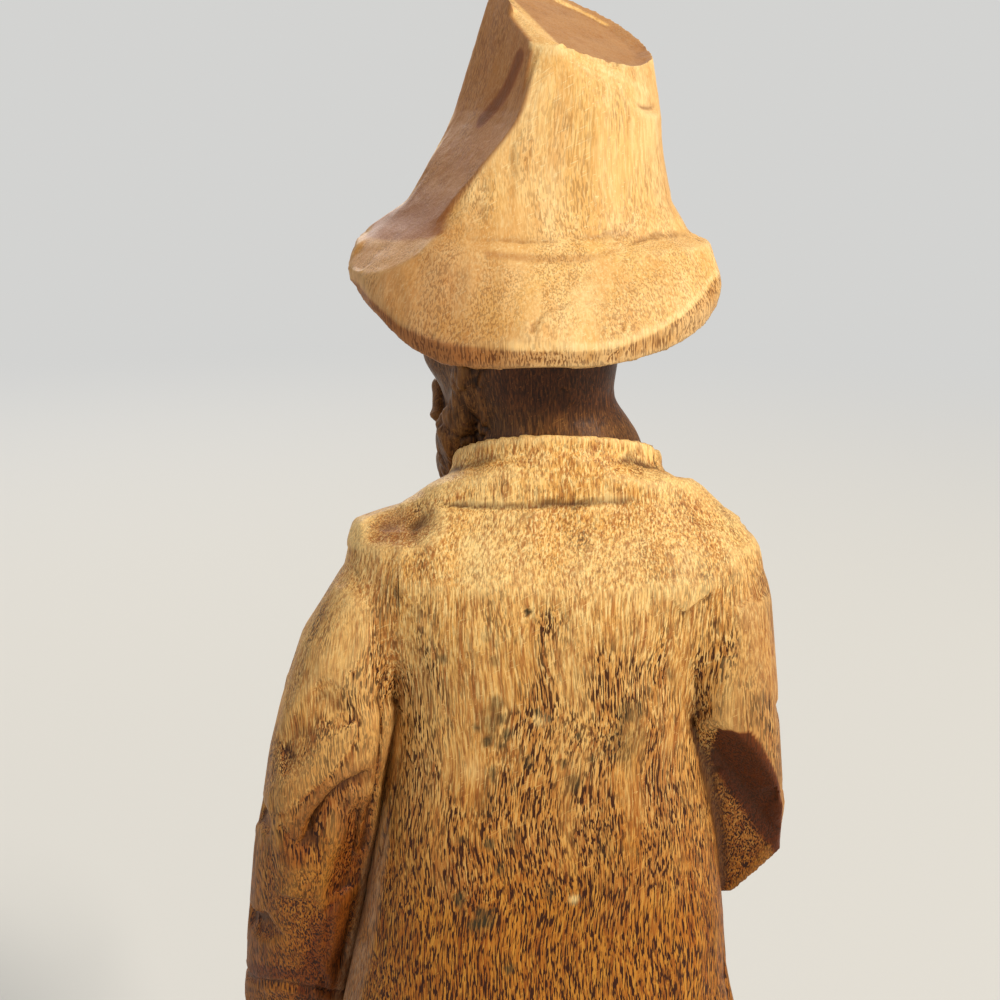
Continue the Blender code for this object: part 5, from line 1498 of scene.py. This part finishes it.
cane = new_object("cane_stick", bpy.data.meshes.new("cane_stick"))
modifier = cane.modifiers.new("stick", "NODES")
modifier.node_group = cane_tree
modifier[start_id] = tuple(CANE_FOOT * MM)
modifier[end_id] = tuple((CANE_FOOT + CANE_AXIS * (CANE_LENGTH + 2)) * MM)
modifier[radius_id] = SHAFT_RADIUS * MM
modifier[wood_id] = CANE
ready = cane.evaluated_get(bpy.context.evaluated_depsgraph_get())
cane_mesh = bpy.data.meshes.new_from_object(ready)
cane.modifiers.clear()
cane.data = cane_mesh
print("cane:", len(cane_mesh.polygons), "faces")
finish_piece(cane, "cane", "cane_wood", CANE, name="cane_whittled", body="cane")

# %% [markdown]
# ## Hidden joinery
# Dowels, peg and screws stay as their CAD solids. They show only from below or when the blocks are
# taken apart, and still get the finish of the real thing: turned beech, and zinc-plated steel.

# %% Joinery materials
def plain_finish(name, base, spots, roughness, metallic, stretch):
    """A turned or plated finish with slow colour changes along the piece."""
    material, tree, shader = new_material(name)
    place = add(tree, "ShaderNodeTexCoord").outputs["Object"]
    scaled = add(tree, "ShaderNodeVectorMath", {"operation": "MULTIPLY", 1: stretch}, {0: place})
    noise = add(tree, "ShaderNodeTexNoise", {"Scale": 1.0, "Detail": 3.0}, {"Vector": scaled.outputs[0]})
    share = add(tree, "ShaderNodeMapRange", {"From Min": 0.35, "From Max": 0.65},
                {"Value": noise.outputs["Fac"]})
    colour = add(tree, "ShaderNodeMix", {"data_type": "RGBA", 6: linear(base), 7: linear(spots)},
                 {0: share.outputs[0]})
    tree.links.new(colour.outputs[2], shader.inputs["Base Color"])
    rough = add(tree, "ShaderNodeMapRange", {"From Min": 0.3, "From Max": 0.7, "To Min": roughness - 0.05,
                "To Max": roughness + 0.1}, {"Value": noise.outputs["Fac"]})
    tree.links.new(rough.outputs[0], shader.inputs["Roughness"])
    shader.inputs["Metallic"].default_value = metallic
    bumped = add(tree, "ShaderNodeBump", {"Strength": 0.3, "Distance": 0.0001},
                 {"Height": noise.outputs["Fac"]})
    tree.links.new(bumped.outputs["Normal"], shader.inputs["Normal"])
    return material


BEECH = plain_finish("turned_beech_dowel", "#d9b27c", "#b98b54", 0.55, 0.0, (900, 900, 900))
STEEL = plain_finish("zinc_plated_steel", "#b4b7b8", "#8f9294", 0.32, 1.0, (500, 500, 500))
for name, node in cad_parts.items():
    if not node.hide_render:
        node.data.materials.clear()
        node.data.materials.append(STEEL if "screw" in name else BEECH)
        print("joinery:", name)

# %% [markdown]
# ## Studio
# The photograph looks slightly down on the figure's back. The key light is large and stands behind
# the camera, high on its right. A pale sweep is floor and backdrop in one.

# %% Floor
FLOOR_RADIUS = 14
plane = bmesh.new()
bmesh.ops.create_circle(plane, cap_ends=True, segments=96, radius=FLOOR_RADIUS)
floor = object_from("pale_floor", plane)
PAPER = "#d4d4d0"
BACKDROP = "#f4f4f2"
BACKDROP_LIGHT = 0.72
SWEEP_START, SWEEP_END = 0.7, 2.2
paper, sheet, matt = new_material("pale_paper")
matt.inputs["Base Color"].default_value = linear(PAPER)
matt.inputs["Roughness"].default_value = 0.9
# Seen by the camera, the floor turns into the backdrop with distance, as a curved paper sweep does.
spot = add(sheet, "ShaderNodeTexCoord").outputs["Object"]
distance = add(sheet, "ShaderNodeVectorMath", {"operation": "LENGTH"}, {0: spot}).outputs["Value"]
far = add(sheet, "ShaderNodeMapRange", {"interpolation_type": "SMOOTHSTEP", "From Min": SWEEP_START,
          "From Max": SWEEP_END}, {"Value": distance}).outputs[0]
seen = add(sheet, "ShaderNodeLightPath").outputs["Is Camera Ray"]
far = add(sheet, "ShaderNodeMath", {"operation": "MULTIPLY"}, {0: far, 1: seen}).outputs[0]
glow = add(sheet, "ShaderNodeEmission", {"Color": linear(BACKDROP), "Strength": BACKDROP_LIGHT})
sweep = add(sheet, "ShaderNodeMixShader", {}, {0: far, 1: matt.outputs[0], 2: glow.outputs[0]})
sheet.links.new(sweep.outputs[0], sheet.nodes["Material Output"].inputs["Surface"])
floor.data.materials.append(paper)


# %% Lights
def area_light(name, place, target, size, power, colour):
    light = bpy.data.lights.new(name, "AREA")
    light.shape = "DISK"
    light.size = size
    light.energy = power
    light.color = linear(colour)[:3]
    lamp = new_object(name, light)
    lamp.location = place
    lamp.rotation_euler = (Vector(target) - Vector(place)).to_track_quat("-Z", "Y").to_euler()


area_light("key", (-2.65, 2.3, 2.45), (0, 0, 0.28), 0.9, 175, "#fff6ea")
area_light("fill", (3.0, 1.4, 1.2), (0, 0, 0.25), 1.6, 18, "#eef2ff")
area_light("front", (1.2, -3.2, 2.2), (0, 0, 0.25), 1.8, 70, "#fff8f0")

ROOM_LIGHT = 0.38
world = bpy.data.worlds.new("studio")
bpy.context.scene.world = world
world.use_nodes = True
sky = world.node_tree
rays = add(sky, "ShaderNodeLightPath").outputs
seen = add(sky, "ShaderNodeMath", {"operation": "MAXIMUM"},
           {0: rays["Is Camera Ray"], 1: rays["Is Glossy Ray"]})
strength = add(sky, "ShaderNodeMapRange", {"To Min": ROOM_LIGHT, "To Max": BACKDROP_LIGHT},
               {"Value": seen.outputs[0]})
sky.nodes["Background"].inputs["Color"].default_value = linear(BACKDROP)
sky.links.new(strength.outputs[0], sky.nodes["Background"].inputs["Strength"])

# %% Camera
CAMERA_PLACE = (0.00984, 0.30688, 0.38887)
CAMERA_AIM = (0.00984, 0.020, 0.312)
camera_data = bpy.data.cameras.new("camera")
camera_data.lens = 52.2
camera_data.sensor_width = 36
camera = new_object("camera", camera_data)
camera.location = CAMERA_PLACE
aim = Vector(CAMERA_AIM) - camera.location
camera.rotation_euler = aim.to_track_quat("-Z", "Y").to_euler()
camera_data.clip_start = 0.01
bpy.context.scene.camera = camera
bpy.context.scene.view_settings.view_transform = "Standard"
